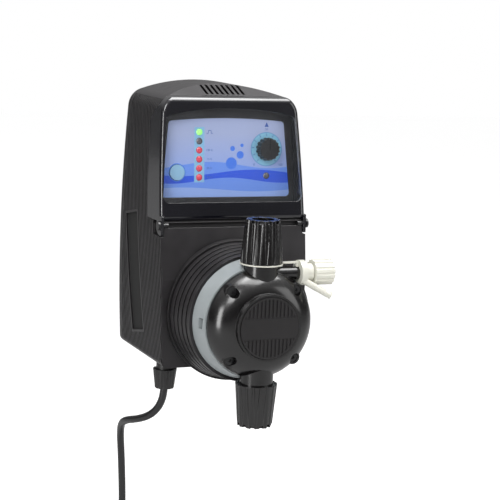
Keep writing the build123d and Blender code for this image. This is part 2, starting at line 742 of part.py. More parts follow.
with BuildPart() as cover_ears:
    with BuildSketch(Plane.YZ) as ear_side:
        with Locations((HINGE_Y, HINGE_Z)):
            Circle(EAR_RADIUS)
        with Locations((COVER_LOW_Y - 1, HINGE_Z)):
            Rectangle(2 * EAR_RADIUS, 2 * EAR_RADIUS, align=(Align.MAX, Align.CENTER), mode=Mode.SUBTRACT)
    extrude(ear_side.sketch, amount=far_side, both=True)
    extrude(case_outline(0), amount=far_side, mode=Mode.INTERSECT)
    extrude(case_outline(0, COVER_WALL), amount=far_side, mode=Mode.SUBTRACT)

with BuildPart() as cover_frame:
    add(cover_body.part)
    add(cover_hollow.part, mode=Mode.SUBTRACT)
    with BuildSketch(cover_plane.offset(-2 * COVER_WALL)):
        add(window_outline())
    extrude(amount=4 * COVER_WALL, mode=Mode.SUBTRACT)
    add(cover_ears.part)
    with Locations((0, HINGE_Y, HINGE_Z)):
        Cylinder(PIN_RADIUS + RUNNING_GAP, 4 * HALF_WIDTH_MIDDLE, rotation=(0, 90, 0), mode=Mode.SUBTRACT)
save(cover_frame, "cover_frame")

with BuildPart() as cover_window:
    with BuildSketch(cover_plane.offset(-0.2)):
        add(window_outline(RUNNING_GAP))
    extrude(amount=-WINDOW_THICK)
save(cover_window, "cover_window")

pin_foot = HALF_WIDTH_MIDDLE - COVER_WALL - CASE_WALL - 1
with BuildPart() as hinge_pins:
    for side in (-1, 1):
        with BuildSketch(Plane.YZ.offset(side * pin_foot)):
            with Locations((HINGE_Y, HINGE_Z)):
                Circle(PIN_RADIUS)
        extrude(amount=side * (HALF_WIDTH_MIDDLE + CLEAR - pin_foot))
        with BuildSketch(Plane.YZ.offset(side * (HALF_WIDTH_MIDDLE + CLEAR))):
            with Locations((HINGE_Y, HINGE_Z)):
                Circle(PIN_HEAD_RADIUS)
        extrude(amount=side * PIN_HEAD_THICK)
save(hinge_pins, "hinge_pins")


# ================================================================ solenoid housing and spacer ring
axis_point = (0, 0, HEAD_AXIS)
forward = (0, -1, 0)
rim_front = -LOW_FRONT_Y + DRUM_RIM
drum_front = -DRUM_FRONT_Y
step_length = (drum_front - rim_front) / DRUM_RIBS
step_drop = (DRUM_BASE_RADIUS - DRUM_RIM / 2 - DRUM_FRONT_RADIUS) / DRUM_RIBS
groove_width = 1.4
groove_depth = 1.0
drum_inner = DRUM_FRONT_RADIUS - DRUM_WALL
screw_angles = [45 + 90 * i for i in range(4)]
screw_places = [
    (HEAD_SCREW_CIRCLE * cos(radians(a)), HEAD_AXIS + HEAD_SCREW_CIRCLE * sin(radians(a)))
    for a in screw_angles
]
yoke_screw_circle = 20
yoke_screw_radius = 1.6
yoke_screw_head = 3.1
yoke_screw_head_thick = 2
yoke_screw_places = [
    (yoke_screw_circle * cos(radians(a)), HEAD_AXIS + yoke_screw_circle * sin(radians(a)))
    for a in screw_angles
]
drum_hub_radius = 12

drum_points = [(drum_hole, -LEDGE_Y), (DRUM_BASE_RADIUS, -LEDGE_Y), (DRUM_BASE_RADIUS, rim_front)]
for i in range(DRUM_RIBS):
    step_start = rim_front + i * step_length
    step_radius = DRUM_BASE_RADIUS - DRUM_RIM / 2 - i * step_drop
    drum_points += [
        (step_radius - groove_depth, step_start),
        (step_radius - groove_depth, step_start + groove_width),
        (step_radius, step_start + groove_width),
        (step_radius - step_drop / 2, step_start + step_length),
    ]
drum_points += [
    (drum_hub_radius, drum_front),
    (drum_hub_radius, drum_front - DRUM_FRONT_WALL),
    (drum_inner, drum_front - DRUM_FRONT_WALL),
    (drum_inner + DRUM_WALL, rim_front),
    (drum_hole, rim_front),
]

with BuildPart() as solenoid_housing:
    add(turned(drum_points, axis_point, forward))
    with BuildSketch(Plane.YZ) as case_front:
        with BuildLine():
            Polyline(
                (0, CASE_BOTTOM - DRUM_BASE_RADIUS),
                (LOW_FRONT_Y, CASE_BOTTOM - DRUM_BASE_RADIUS),
                (LOW_FRONT_Y, LOW_FRONT_TOP),
                (LEDGE_Y, LEDGE_HEIGHT),
                (0, LEDGE_HEIGHT),
                close=True,
            )
        make_face()
    extrude(case_front.sketch, amount=far_side, both=True, mode=Mode.SUBTRACT)
    with BuildSketch(Plane.XZ.offset(drum_front - DRUM_FRONT_WALL)):
        with Locations(*screw_places):
            Circle(HEAD_SCREW_RADIUS)
        with Locations(*yoke_screw_places):
            Circle(yoke_screw_radius + CLEAR / 2)
    extrude(amount=DRUM_FRONT_WALL, mode=Mode.SUBTRACT)
    with BuildSketch(Plane.XZ.offset(drum_front - yoke_screw_head_thick - CLEAR)):
        with Locations(*yoke_screw_places):
            Circle(yoke_screw_head + CLEAR)
    extrude(amount=DRUM_FRONT_WALL, mode=Mode.SUBTRACT)
save(solenoid_housing, "solenoid_housing")

ring_front = -RING_FRONT_Y
web_radius = 24
web_front = drum_front + RING_WEB
ring_slot_width = 5
ring_slot_height = 8
ring_slot_y = -146
vent_clear = VENT_COLLAR_RADIUS + CLEAR
notch_start = NUT_START - STRAP_THICK - 3 * CLEAR
with BuildPart() as spacer_ring:
    ring_points = [
        (web_radius, drum_front), (RING_BACK_RADIUS, drum_front), (RING_FRONT_RADIUS, ring_front),
        (RING_BORE, ring_front), (RING_BORE, web_front), (web_radius, web_front),
    ]
    add(turned(ring_points, axis_point, forward))
    with Locations((0, VALVE_Y, HEAD_AXIS)):
        Cylinder(NECK_RADIUS + CLEAR, 4 * RING_BACK_RADIUS, mode=Mode.SUBTRACT)
    with Locations((0, VALVE_Y, HEAD_AXIS + notch_start), (0, VALVE_Y, HEAD_AXIS - notch_start - NECK_END)):
        Cylinder(
            NUT_WIDE_RADIUS + 2 * CLEAR, NECK_END,
            align=(Align.CENTER, Align.CENTER, Align.MIN), mode=Mode.SUBTRACT,
        )
    with Locations((0, VALVE_Y, VENT_Z)):
        Cylinder(
            VENT_NOZZLE_RADIUS + CLEAR, VENT_NOZZLE_END, rotation=(0, 90, 0),
            align=(Align.CENTER, Align.CENTER, Align.MIN), mode=Mode.SUBTRACT,
        )
    with Locations((-RING_BORE, ring_slot_y, HEAD_AXIS)):
        Box(4 * ring_slot_height, ring_slot_width, ring_slot_height, mode=Mode.SUBTRACT)
    with Locations((VENT_NOZZLE_END - CLEAR, VALVE_Y, VENT_Z)):
        Cylinder(
            vent_clear, RING_BACK_RADIUS, rotation=(0, 90, 0), align=(Align.CENTER, Align.CENTER, Align.MIN),
            mode=Mode.SUBTRACT,
        )
    with BuildSketch(Plane.XZ.offset(drum_front)):
        with Locations(*screw_places):
            Circle(HEAD_SCREW_RADIUS + CLEAR)
    extrude(amount=RING_WEB, mode=Mode.SUBTRACT)
save(spacer_ring, "spacer_ring")

# ================================================================ pump head
plug_back = web_front + DIAPHRAGM_THICK
rim_back = ring_front + CLEAR
rim_end = rim_back + HEAD_RIM_THICK
plug_radius = RING_BORE - HEAD_PLUG_GAP
disc_floor = -COLLAR_FRONT_Y - 3
boss_radius = 5.5
boss_front = 161
screw_head_radius = 3.6
screw_head_thick = 3
chamber_radius = 32
chamber_depth = 4
port_offset = 22
nozzle_inner = 20
stem_radius = 3
vent_bore = 1.2
port_axis_z = HEAD_AXIS + 20
vent_elbow = 14
vent_turn = degrees(atan2(vent_elbow, VENT_Z - port_axis_z))
vent_slant = sqrt(vent_elbow**2 + (VENT_Z - port_axis_z) ** 2)

with BuildPart() as dome:
    with BuildSketch(Plane(origin=axis_point, x_dir=(1, 0, 0), z_dir=(0, 0, -1))):
        with BuildLine():
            Polyline(
                (HEAD_RADIUS, rim_end),
                (HEAD_RADIUS, rim_back),
                (plug_radius, rim_back),
                (plug_radius, plug_back),
                (chamber_radius, plug_back),
                (chamber_radius - 2 * chamber_depth, plug_back + chamber_depth),
                (0, plug_back + chamber_depth),
                (0, disc_floor),
                (DISC_RADIUS + CLEAR, disc_floor),
                (DISC_RADIUS + CLEAR, -COLLAR_FRONT_Y),
                (COLLAR_RADIUS, -COLLAR_FRONT_Y),
                (COLLAR_RADIUS, -COLLAR_BACK_Y),
            )
            ThreePointArc(
                (COLLAR_RADIUS, -COLLAR_BACK_Y),
                (DOME_MIDDLE_RADIUS, -DOME_MIDDLE_Y),
                (HEAD_RADIUS, rim_end),
            )
        make_face()
    revolve(axis=Axis(axis_point, forward))

with BuildPart() as pump_head:
    add(dome.part)
    with BuildSketch(Plane.XZ.offset(rim_back)):
        with Locations(*screw_places):
            Circle(boss_radius)
    extrude(amount=boss_front - rim_back)
    for side in (-1, 1):
        with Locations((0, VALVE_Y, HEAD_AXIS + side * (chamber_radius + 1 + NECK_END) / 2)):
            Cylinder(NECK_RADIUS, NECK_END - chamber_radius - 1)
    with Locations((0, -plug_back, HEAD_AXIS)):
        Cylinder(
            plug_radius, RING_WEB, rotation=(90, 0, 0), align=(Align.CENTER, Align.CENTER, Align.MAX),
            mode=Mode.SUBTRACT,
        )
    with Locations((0, VALVE_Y, VENT_Z)):
        Cylinder(
            VENT_NOZZLE_RADIUS, VENT_NOZZLE_END,
            rotation=(0, 90, 0), align=(Align.CENTER, Align.CENTER, Align.MIN),
        )
    with Locations((0, VALVE_Y - VENT_NOZZLE_RADIUS / 2, VENT_Z - 2 * VENT_NOZZLE_RADIUS)):
        Box(
            nozzle_inner, VENT_NOZZLE_RADIUS, 2 * VENT_NOZZLE_RADIUS,
            align=(Align.MIN, Align.CENTER, Align.MIN),
        )
    with BuildSketch(Plane.XZ.offset(0)):
        with Locations(*screw_places):
            Circle(HEAD_SCREW_RADIUS + CLEAR / 2)
    extrude(amount=far_side, mode=Mode.SUBTRACT)
    with BuildSketch(Plane.XZ.offset(boss_front - screw_head_thick)):
        with Locations(*screw_places):
            Circle(screw_head_radius + CLEAR)
    extrude(amount=far_side, mode=Mode.SUBTRACT)
    for side in (-1, 1):
        with Locations((0, VALVE_Y, HEAD_AXIS + side * (POCKET_START + NECK_END) / 2)):
            Cylinder(POCKET_RADIUS, NECK_END - POCKET_START, mode=Mode.SUBTRACT)
        with Locations((0, VALVE_Y, HEAD_AXIS + side * (port_offset + POCKET_START) / 2)):
            Cylinder(PORT_RADIUS, POCKET_START - port_offset + 2 * PORT_RADIUS, mode=Mode.SUBTRACT)
        with Locations((0, (VALVE_Y - plug_back) / 2, HEAD_AXIS + side * port_offset)):
            Cylinder(PORT_RADIUS - CLEAR, -VALVE_Y - plug_back, rotation=(90, 0, 0), mode=Mode.SUBTRACT)
    with Locations((nozzle_inner, VALVE_Y, VENT_Z)):
        Cylinder(
            stem_radius, VENT_NOZZLE_END - nozzle_inner, rotation=(0, 90, 0),
            align=(Align.CENTER, Align.CENTER, Align.MIN), mode=Mode.SUBTRACT,
        )
    with Locations((vent_elbow, VALVE_Y, VENT_Z)):
        Cylinder(
            vent_bore, VENT_NOZZLE_END - vent_elbow, rotation=(0, 90, 0),
            align=(Align.CENTER, Align.CENTER, Align.MIN), mode=Mode.SUBTRACT,
        )
    with Locations(Location((vent_elbow, VALVE_Y, VENT_Z), (0, vent_turn, 0))):
        Cylinder(vent_bore, vent_slant, align=(Align.CENTER, Align.CENTER, Align.MAX), mode=Mode.SUBTRACT)
    with Locations((VENT_NOZZLE_END, VALVE_Y, VENT_Z)):
        Cylinder(
            vent_clear, RING_BACK_RADIUS, rotation=(0, 90, 0), align=(Align.CENTER, Align.CENTER, Align.MIN),
            mode=Mode.SUBTRACT,
        )
save(pump_head, "pump_head")

disc_front = -COLLAR_FRONT_Y + DISC_PROUD
disc_rib_pitch = 3.1
disc_rib_depth = 0.7
with BuildPart() as head_disc:
    with BuildSketch(Plane.XZ.offset(disc_floor)):
        with Locations((0, HEAD_AXIS)):
            Circle(DISC_RADIUS)
    extrude(amount=disc_front - disc_floor)
    with BuildSketch(Plane.XZ.offset(disc_front - disc_rib_depth)):
        with Locations((0, HEAD_AXIS)):
            Circle(DISC_RADIUS - 1.5)
            Rectangle(2 * DISC_RADIUS, 2 * DISC_BAND + 2, mode=Mode.SUBTRACT)
        with Locations(*[(i * disc_rib_pitch, HEAD_AXIS) for i in range(-7, 8)]):
            Rectangle(disc_rib_pitch / 2, 2 * DISC_RADIUS, mode=Mode.SUBTRACT)
    extrude(amount=disc_rib_depth, mode=Mode.SUBTRACT)
    with BuildSketch(Plane.XZ.offset(disc_front - disc_rib_depth / 2)):
        with Locations((0, HEAD_AXIS + DISC_BAND + 0.6), (0, HEAD_AXIS - DISC_BAND - 0.6)):
            Rectangle(2 * (DISC_RADIUS - 3), 1.2)
    extrude(amount=disc_rib_depth, mode=Mode.SUBTRACT)
save(head_disc, "head_disc")

screw_end = drum_front - DRUM_FRONT_WALL + CLEAR
with BuildPart() as head_screws:
    with BuildSketch(Plane.XZ.offset(screw_end)):
        with Locations(*screw_places):
            Circle(HEAD_SCREW_RADIUS)
    extrude(amount=boss_front - screw_head_thick - screw_end)
    with BuildSketch(Plane.XZ.offset(boss_front - screw_head_thick)):
        with Locations(*screw_places):
            Circle(screw_head_radius)
    extrude(amount=screw_head_thick - CLEAR)
    with BuildSketch(Plane.XZ.offset(boss_front - screw_head_thick / 2)):
        with Locations(*screw_places):
            RegularPolygon(1.6, 6)
    extrude(amount=screw_head_thick, mode=Mode.SUBTRACT)
save(head_screws, "head_screws")

hub_radius = 9
hub_back = 133
hub_floor = -ROD_FRONT_Y
with BuildPart() as diaphragm:
    diaphragm_points = [
        (0, hub_floor), (ROD_RADIUS, hub_floor), (ROD_RADIUS, hub_back),
        (hub_radius, hub_back), (hub_radius, web_front - 1),
        (hub_radius + 2, web_front), (RING_BORE - 2 * CLEAR, web_front), (RING_BORE - 2 * CLEAR, plug_back),
        (0, plug_back),
    ]
    add(turned(diaphragm_points, axis_point, forward))
    with BuildSketch(Plane.XZ.offset(web_front)):
        with Locations(*screw_places):
            Circle(HEAD_SCREW_RADIUS + CLEAR)
    extrude(amount=DIAPHRAGM_THICK, mode=Mode.SUBTRACT)
save(diaphragm, "diaphragm")


# ================================================================ valves, hose connectors and nuts
upward = (0, 0, 1)
cartridge_length = NECK_END - CARTRIDGE_START
cartridge_radius = POCKET_RADIUS - RUNNING_GAP
seat_depth = 4
ball_rise = sqrt((BALL_RADIUS + CLEAR) ** 2 - SEAT_RADIUS**2)
cage_depth = seat_depth + ball_rise + BALL_RADIUS + BALL_LIFT + CLEAR
flange_thick = 2
connector_shoulder = 7.9
connector_neck_end = 63
spigot_nose = 1
nut_thread_end = NECK_END + flange_thick
nut_taper = degrees(atan2(NUT_WIDE_RADIUS - NUT_NARROW_RADIUS, NUT_END - NUT_START))
nut_thread_radius = NECK_RADIUS + 0.1
flute_radius = 1.1
tooth_depth = 2.2
tooth_width = 3


def cartridge(foot):
    """Valve cartridge standing on the height foot: seat below, ball cage, outlet bore above."""
    points = [
        (SEAT_RADIUS, 0), (cartridge_radius, 0), (cartridge_radius, cartridge_length),
        (SEAT_RADIUS, cartridge_length), (SEAT_RADIUS, cage_depth), (CAGE_RADIUS, cage_depth),
        (CAGE_RADIUS, seat_depth), (SEAT_RADIUS, seat_depth),
    ]
    return turned(points, (0, VALVE_Y, foot), upward)


def seal(outer, inner, thick, distance, direction):
    """Flat ring seal on the valve axis, from one distance off the head axis outwards."""
    points = [(inner, distance), (outer, distance), (outer, distance + thick), (inner, distance + thick)]
    return turned(points, (0, VALVE_Y, HEAD_AXIS), direction)


def nut(direction):
    """Fluted hose nut with a toothed end, threaded over the neck and closing on the connector's flange."""
    start = Plane(origin=(0, VALVE_Y, HEAD_AXIS + direction * NUT_START), z_dir=(0, 0, direction))
    with BuildPart() as body:
        with BuildSketch(start):
            Circle(NUT_WIDE_RADIUS)
            with PolarLocations(NUT_WIDE_RADIUS + flute_radius / 3, NUT_FLUTES):
                Circle(flute_radius, mode=Mode.SUBTRACT)
        extrude(amount=NUT_END - NUT_START, taper=nut_taper)
        with BuildSketch(start.offset(NUT_END - NUT_START - tooth_depth)):
            with PolarLocations(NUT_NARROW_RADIUS, NUT_TEETH):
                Rectangle(5, tooth_width)
        extrude(amount=tooth_depth, mode=Mode.SUBTRACT)
        with BuildSketch(start):
            Circle(nut_thread_radius)
        extrude(amount=nut_thread_end - NUT_START, mode=Mode.SUBTRACT)
        with BuildSketch(start):
            Circle(NUT_BORE)
        extrude(amount=NUT_END - NUT_START, mode=Mode.SUBTRACT)
    return body.part


def connector(direction):
    """Hose connector with a plain spigot, clamped by its flange under the nut."""
    points = [
        (NIPPLE_BORE, NECK_END), (NECK_RADIUS - CLEAR, NECK_END), (NECK_RADIUS - CLEAR, nut_thread_end),
        (connector_shoulder, nut_thread_end), (connector_shoulder, connector_neck_end),
        (NIPPLE_RADIUS, connector_neck_end), (NIPPLE_RADIUS, NIPPLE_END - spigot_nose),
        (NIPPLE_RADIUS - spigot_nose / 2, NIPPLE_END), (NIPPLE_BORE, NIPPLE_END),
    ]
    return turned(points, (0, VALVE_Y, HEAD_AXIS), (0, 0, direction))


for valve, direction, foot in (
    ("suction", -1, HEAD_AXIS - NECK_END),
    ("discharge", 1, HEAD_AXIS + CARTRIDGE_START),
):
    with BuildPart() as valve_ball:
        with Locations((0, VALVE_Y, foot + seat_depth + ball_rise)):
            Sphere(BALL_RADIUS)
    save(valve_ball, f"{valve}_ball")
    with BuildPart() as hose_connector:
        add(connector(direction))
    save(hose_connector, f"{valve}_hose_connector")
    with BuildPart() as hose_nut:
        add(nut(direction))
    save(hose_nut, f"{valve}_nut")

with BuildPart() as valve_cartridges:
    for foot in (HEAD_AXIS - NECK_END, HEAD_AXIS + CARTRIDGE_START):
        add(cartridge(foot))
save(valve_cartridges, "valve_cartridges")

# ================================================================ vent valve
sideways = (1, 0, 0)
vent_point = (0, VALVE_Y, VENT_Z)
seal_thick = 1
seal_front = VENT_NOZZLE_END + seal_thick
collar_back = VENT_NOZZLE_END + CLEAR
needle_tip = nozzle_inner + 3
needle_bore = NEEDLE_RADIUS + RUNNING_GAP
needle_end = VENT_KNOB_START + 10
knob_bore_end = needle_end + 1.5

with BuildPart() as vent_body:
    vent_points = [
        (needle_bore - 0.5, nozzle_inner), (stem_radius - RUNNING_GAP, nozzle_inner),
        (stem_radius - RUNNING_GAP, seal_front), (VENT_NOZZLE_RADIUS, seal_front),
        (VENT_NOZZLE_RADIUS, collar_back), (VENT_COLLAR_RADIUS, collar_back),
        (VENT_COLLAR_RADIUS, VENT_COLLAR_END), (VENT_BARREL_RADIUS, VENT_COLLAR_END),
        (VENT_BARREL_RADIUS, VENT_BARREL_END), (needle_bore, VENT_BARREL_END),
        (needle_bore, nozzle_inner + 2), (needle_bore - 0.5, nozzle_inner + 2),
    ]
    spout_line = Vector(*SPOUT_TIP) - Vector(*SPOUT_ROOT)
    with BuildSketch(Plane(origin=SPOUT_ROOT, z_dir=spout_line)):
        Circle(SPOUT_RADIUS)
    extrude(amount=spout_line.length)
    add(turned(vent_points, vent_point, sideways, across=(0, 0, 1)))
    with BuildSketch(Plane(origin=SPOUT_ROOT, z_dir=spout_line)):
        Circle(SPOUT_BORE)
    extrude(amount=spout_line.length, mode=Mode.SUBTRACT)
save(vent_body, "vent_body")

valve_seal_thick = CARTRIDGE_START - POCKET_START
with BuildPart() as head_seals:
    for direction in (-1, 1):
        add(seal(cartridge_radius, CAGE_RADIUS, valve_seal_thick, POCKET_START, (0, 0, direction)))
    seal_points = [
        (stem_radius, VENT_NOZZLE_END), (VENT_NOZZLE_RADIUS - CLEAR, VENT_NOZZLE_END),
        (VENT_NOZZLE_RADIUS - CLEAR, seal_front), (stem_radius, seal_front),
    ]
    add(turned(seal_points, vent_point, sideways, across=(0, 0, 1)))
save(head_seals, "head_seals")

with BuildPart() as vent_knob:
    with BuildSketch(Plane.YZ.offset(VENT_KNOB_START)):
        with Locations((VALVE_Y, VENT_Z)):
            Circle(VENT_KNOB_RADIUS)
            with PolarLocations(VENT_KNOB_RADIUS + 0.4, VENT_KNOB_FLUTES):
                Circle(1.2, mode=Mode.SUBTRACT)
    extrude(amount=VENT_KNOB_END - VENT_KNOB_START)
    with BuildSketch(Plane.YZ.offset(VENT_KNOB_START)):
        with Locations((VALVE_Y, VENT_Z)):
            Circle(needle_bore)
    extrude(amount=knob_bore_end - VENT_KNOB_START, mode=Mode.SUBTRACT)
save(vent_knob, "vent_knob")

with BuildPart() as vent_needle:
    needle_points = [
        (0, needle_tip - 1), (NEEDLE_RADIUS, needle_tip), (NEEDLE_RADIUS, needle_end), (0, needle_end),
    ]
    add(turned(needle_points, vent_point, sideways, across=(0, 0, 1)))
save(vent_needle, "vent_needle")

strap_top = HEAD_AXIS + NUT_START - CLEAR
strap_tab = 2
with BuildPart() as vent_strap:
    with BuildSketch(Plane.XY.offset(strap_top - STRAP_THICK)):
        with Locations((0, VALVE_Y)):
            Circle(NUT_WIDE_RADIUS + CLEAR)
            Rectangle(
                VENT_NOZZLE_END - CLEAR, VENT_NOZZLE_RADIUS, align=(Align.MIN, Align.CENTER)
            )
            Circle(NECK_RADIUS + RUNNING_GAP, mode=Mode.SUBTRACT)
    extrude(amount=STRAP_THICK)
    with Locations((VENT_NOZZLE_END - CLEAR, VALVE_Y, VENT_Z + VENT_NOZZLE_RADIUS + RUNNING_GAP)):
        Box(
            strap_tab, VENT_NOZZLE_RADIUS, strap_top - VENT_Z - VENT_NOZZLE_RADIUS - RUNNING_GAP,
            align=(Align.MAX, Align.CENTER, Align.MIN),
        )
save(vent_strap, "vent_strap")

# ================================================================ solenoid
yoke_back = -YOKE_BACK_Y
yoke_front = -YOKE_FRONT_Y
yoke_inner = YOKE_RADIUS - YOKE_WALL
pole_flange = 4
pole_radius = ARMATURE_RADIUS
pole_back = -POLE_BACK_Y
bobbin_bore = ARMATURE_RADIUS + CLEAR
winding_bore = bobbin_bore + BOBBIN_WALL
bobbin_back = yoke_back + YOKE_WALL + CLEAR
bobbin_front = yoke_front - pole_flange - CLEAR
spring_radius = 6.2
spring_wire = 0.5
spring_turns = 4
spring_pocket = 8
spring_pocket_end = pole_back + 6
armature_front = -ARMATURE_FRONT_Y
armature_back = -ARMATURE_BACK_Y

with BuildPart() as solenoid_yoke:
    yoke_points = [
        (BUSH_RADIUS, yoke_back), (YOKE_RADIUS, yoke_back),
        (YOKE_RADIUS, yoke_front), (yoke_inner, yoke_front),
        (yoke_inner, yoke_back + YOKE_WALL), (BUSH_RADIUS, yoke_back + YOKE_WALL),
    ]
    add(turned(yoke_points, axis_point, forward))
save(solenoid_yoke, "solenoid_yoke")

with BuildPart() as coil_bobbin:
    bobbin_points = [
        (bobbin_bore, bobbin_back), (BOBBIN_RADIUS, bobbin_back), (BOBBIN_RADIUS, bobbin_back + BOBBIN_WALL),
        (winding_bore, bobbin_back + BOBBIN_WALL), (winding_bore, bobbin_front - BOBBIN_WALL),
        (BOBBIN_RADIUS, bobbin_front - BOBBIN_WALL), (BOBBIN_RADIUS, bobbin_front),
        (bobbin_bore, bobbin_front),
    ]
    add(turned(bobbin_points, axis_point, forward))
save(coil_bobbin, "coil_bobbin")

with BuildPart() as coil_winding:
    winding_points = [
        (winding_bore, bobbin_back + BOBBIN_WALL), (BOBBIN_RADIUS - 1, bobbin_back + BOBBIN_WALL),
        (BOBBIN_RADIUS - 1, bobbin_front - BOBBIN_WALL), (winding_bore, bobbin_front - BOBBIN_WALL),
    ]
    add(turned(winding_points, axis_point, forward))
save(coil_winding, "coil_winding")

with BuildPart() as pole_piece:
    pole_points = [
        (spring_pocket, pole_back), (pole_radius, pole_back), (pole_radius, yoke_front - pole_flange),
        (yoke_inner, yoke_front - pole_flange), (yoke_inner, yoke_front), (BUSH_RADIUS, yoke_front),
        (BUSH_RADIUS, yoke_front - 2 * pole_flange), (ROD_RADIUS + CLEAR, yoke_front - 2 * pole_flange),
        (ROD_RADIUS + CLEAR, spring_pocket_end), (spring_pocket, spring_pocket_end),
    ]
    add(turned(pole_points, axis_point, forward))
    with BuildSketch(Plane.XZ.offset(yoke_front - pole_flange)):
        with Locations(*yoke_screw_places):
            Circle(yoke_screw_radius)
    extrude(amount=pole_flange, mode=Mode.SUBTRACT)
save(pole_piece, "pole_piece")

with BuildPart() as yoke_screws:
    with BuildSketch(Plane.XZ.offset(yoke_front - pole_flange + CLEAR)):
        with Locations(*yoke_screw_places):
            Circle(yoke_screw_radius)
    extrude(amount=drum_front - yoke_screw_head_thick - CLEAR - (yoke_front - pole_flange + CLEAR))
    with BuildSketch(Plane.XZ.offset(drum_front - yoke_screw_head_thick - CLEAR)):
        with Locations(*yoke_screw_places):
            Circle(yoke_screw_head)
    extrude(amount=yoke_screw_head_thick)
save(yoke_screws, "yoke_screws")

with BuildPart() as guide_bushes:
    add(turned(
        [
            (ROD_RADIUS + RUNNING_GAP, yoke_back), (BUSH_RADIUS, yoke_back),
            (BUSH_RADIUS, yoke_back + YOKE_WALL), (ROD_RADIUS + RUNNING_GAP, yoke_back + YOKE_WALL),
        ],
        axis_point, forward,
    ))
    add(turned(
        [
            (ROD_RADIUS + RUNNING_GAP, yoke_front - 2 * pole_flange),
            (BUSH_RADIUS, yoke_front - 2 * pole_flange),
            (BUSH_RADIUS, yoke_front), (ROD_RADIUS + RUNNING_GAP, yoke_front),
        ],
        axis_point, forward,
    ))
save(guide_bushes, "guide_bushes")

with BuildPart() as stop_pad:
    pad_points = [
        (ROD_RADIUS + CLEAR, yoke_back + YOKE_WALL), (bobbin_bore - 2, yoke_back + YOKE_WALL),
        (bobbin_bore - 2, armature_back - CLEAR), (ROD_RADIUS + CLEAR, armature_back - CLEAR),
    ]
    add(turned(pad_points, axis_point, forward))
save(stop_pad, "stop_pad")

with BuildPart() as armature:
    armature_points = [
        (ROD_RADIUS, armature_back), (ARMATURE_RADIUS, armature_back), (ARMATURE_RADIUS, armature_front),
        (ROD_RADIUS, armature_front),
    ]
    add(turned(armature_points, axis_point, forward))
save(armature, "armature")

with BuildPart() as push_rod:
    with Locations((0, (ROD_BACK_Y + ROD_FRONT_Y) / 2, HEAD_AXIS)):
        Cylinder(ROD_RADIUS, ROD_BACK_Y - ROD_FRONT_Y, rotation=(90, 0, 0))
save(push_rod, "push_rod")

spring_length = spring_pocket_end - armature_front - 2 * spring_wire
with BuildPart() as return_spring:
    with BuildLine() as turns:
        Helix(
            spring_length / spring_turns, spring_length, spring_radius,
            center=(0, -armature_front - spring_wire, HEAD_AXIS), direction=forward,
        )
    with BuildSketch(turns.line ^ 0):
        Circle(spring_wire)
    sweep(path=turns.line, is_frenet=True)
save(return_spring, "return_spring")

# ================================================================ main board inside the casing

with BuildPart() as main_board:
    with BuildSketch(Plane.XZ.offset(-board_back_y)):
        with Locations((0, board_centre_z)):
            Rectangle(board_width, board_height)
        with Locations(*board_places):
            Circle(board_hole_radius + CLEAR / 2, mode=Mode.SUBTRACT)
    extrude(amount=BOARD_THICK)
save(main_board, "main_board")

board_front_y = board_back_y - BOARD_THICK
with BuildPart() as board_parts:
    for x, z, width, height, depth in (
        (-24, 30, 26, 24, 20),
        (12, 36, 18, 16, 14),
        (30, 10, 12, 24, 12),
        (-8, 2, 14, 14, 6),
        (-30, -8, 14, 12, 14),
    ):
        with Locations((x, board_front_y, z)):
            Box(width, depth, height, align=(Align.CENTER, Align.MAX, Align.CENTER))
save(board_parts, "board_parts")

with BuildPart() as board_screws:
    with BuildSketch(Plane.XZ.offset(-board_front_y)):
        with Locations(*board_places):
            Circle(2 * board_hole_radius)
    extrude(amount=BOARD_THICK)
    with BuildSketch(Plane.XZ.offset(-board_back_y - 8)):
        with Locations(*board_places):
            Circle(board_hole_radius)
    extrude(amount=8 + BOARD_THICK)
save(board_screws, "board_screws")

# ================================================================ cable gland
down = (0, 0, -1)
gland_point = (GLAND_X, GLAND_Y, CASE_BOTTOM)
cord_hole = CORD_RADIUS + CLEAR
gland_thread_depth = 0.6
gland_lower_thread = GLAND_RADIUS - gland_thread_depth
gland_thread_length = 7.5
lower_thread_end = GLAND_BASE_LENGTH + gland_thread_length
nut_end = GLAND_BASE_LENGTH + GLAND_NUT_LENGTH
gland_mouth = 3.5
seal_end = nut_end - gland_mouth
gland_flutes = 12
gland_flute_radius = 0.9
gland_taper = 7

with BuildPart() as gland_body:
    gland_points = [
        (cord_hole, -GLAND_THREAD), (GLAND_RADIUS, -GLAND_THREAD), (GLAND_RADIUS, 0), (GLAND_BASE_RADIUS, 0),
        (GLAND_BASE_RADIUS, GLAND_BASE_LENGTH), (gland_lower_thread, GLAND_BASE_LENGTH),
        (gland_lower_thread, lower_thread_end), (cord_hole, lower_thread_end),
    ]
    add(turned(gland_points, gland_point, down))
save(gland_body, "gland_body")

with BuildPart() as gland_locknut:
    with BuildSketch(Plane.XY.offset(CASE_BOTTOM + CASE_WALL)):
        with Locations((GLAND_X, GLAND_Y)):
            RegularPolygon(GLAND_LOCKNUT_RADIUS, 6)
            Circle(GLAND_RADIUS, mode=Mode.SUBTRACT)
    extrude(amount=GLAND_LOCKNUT_THICK)
save(gland_locknut, "gland_locknut")

with BuildPart() as gland_seal:
    seal_points = [
        (CORD_RADIUS + RUNNING_GAP, lower_thread_end), (gland_lower_thread - CLEAR, lower_thread_end),
        (gland_lower_thread - CLEAR, seal_end), (CORD_RADIUS + RUNNING_GAP, seal_end),
    ]
    add(turned(seal_points, gland_point, down))
save(gland_seal, "gland_seal")

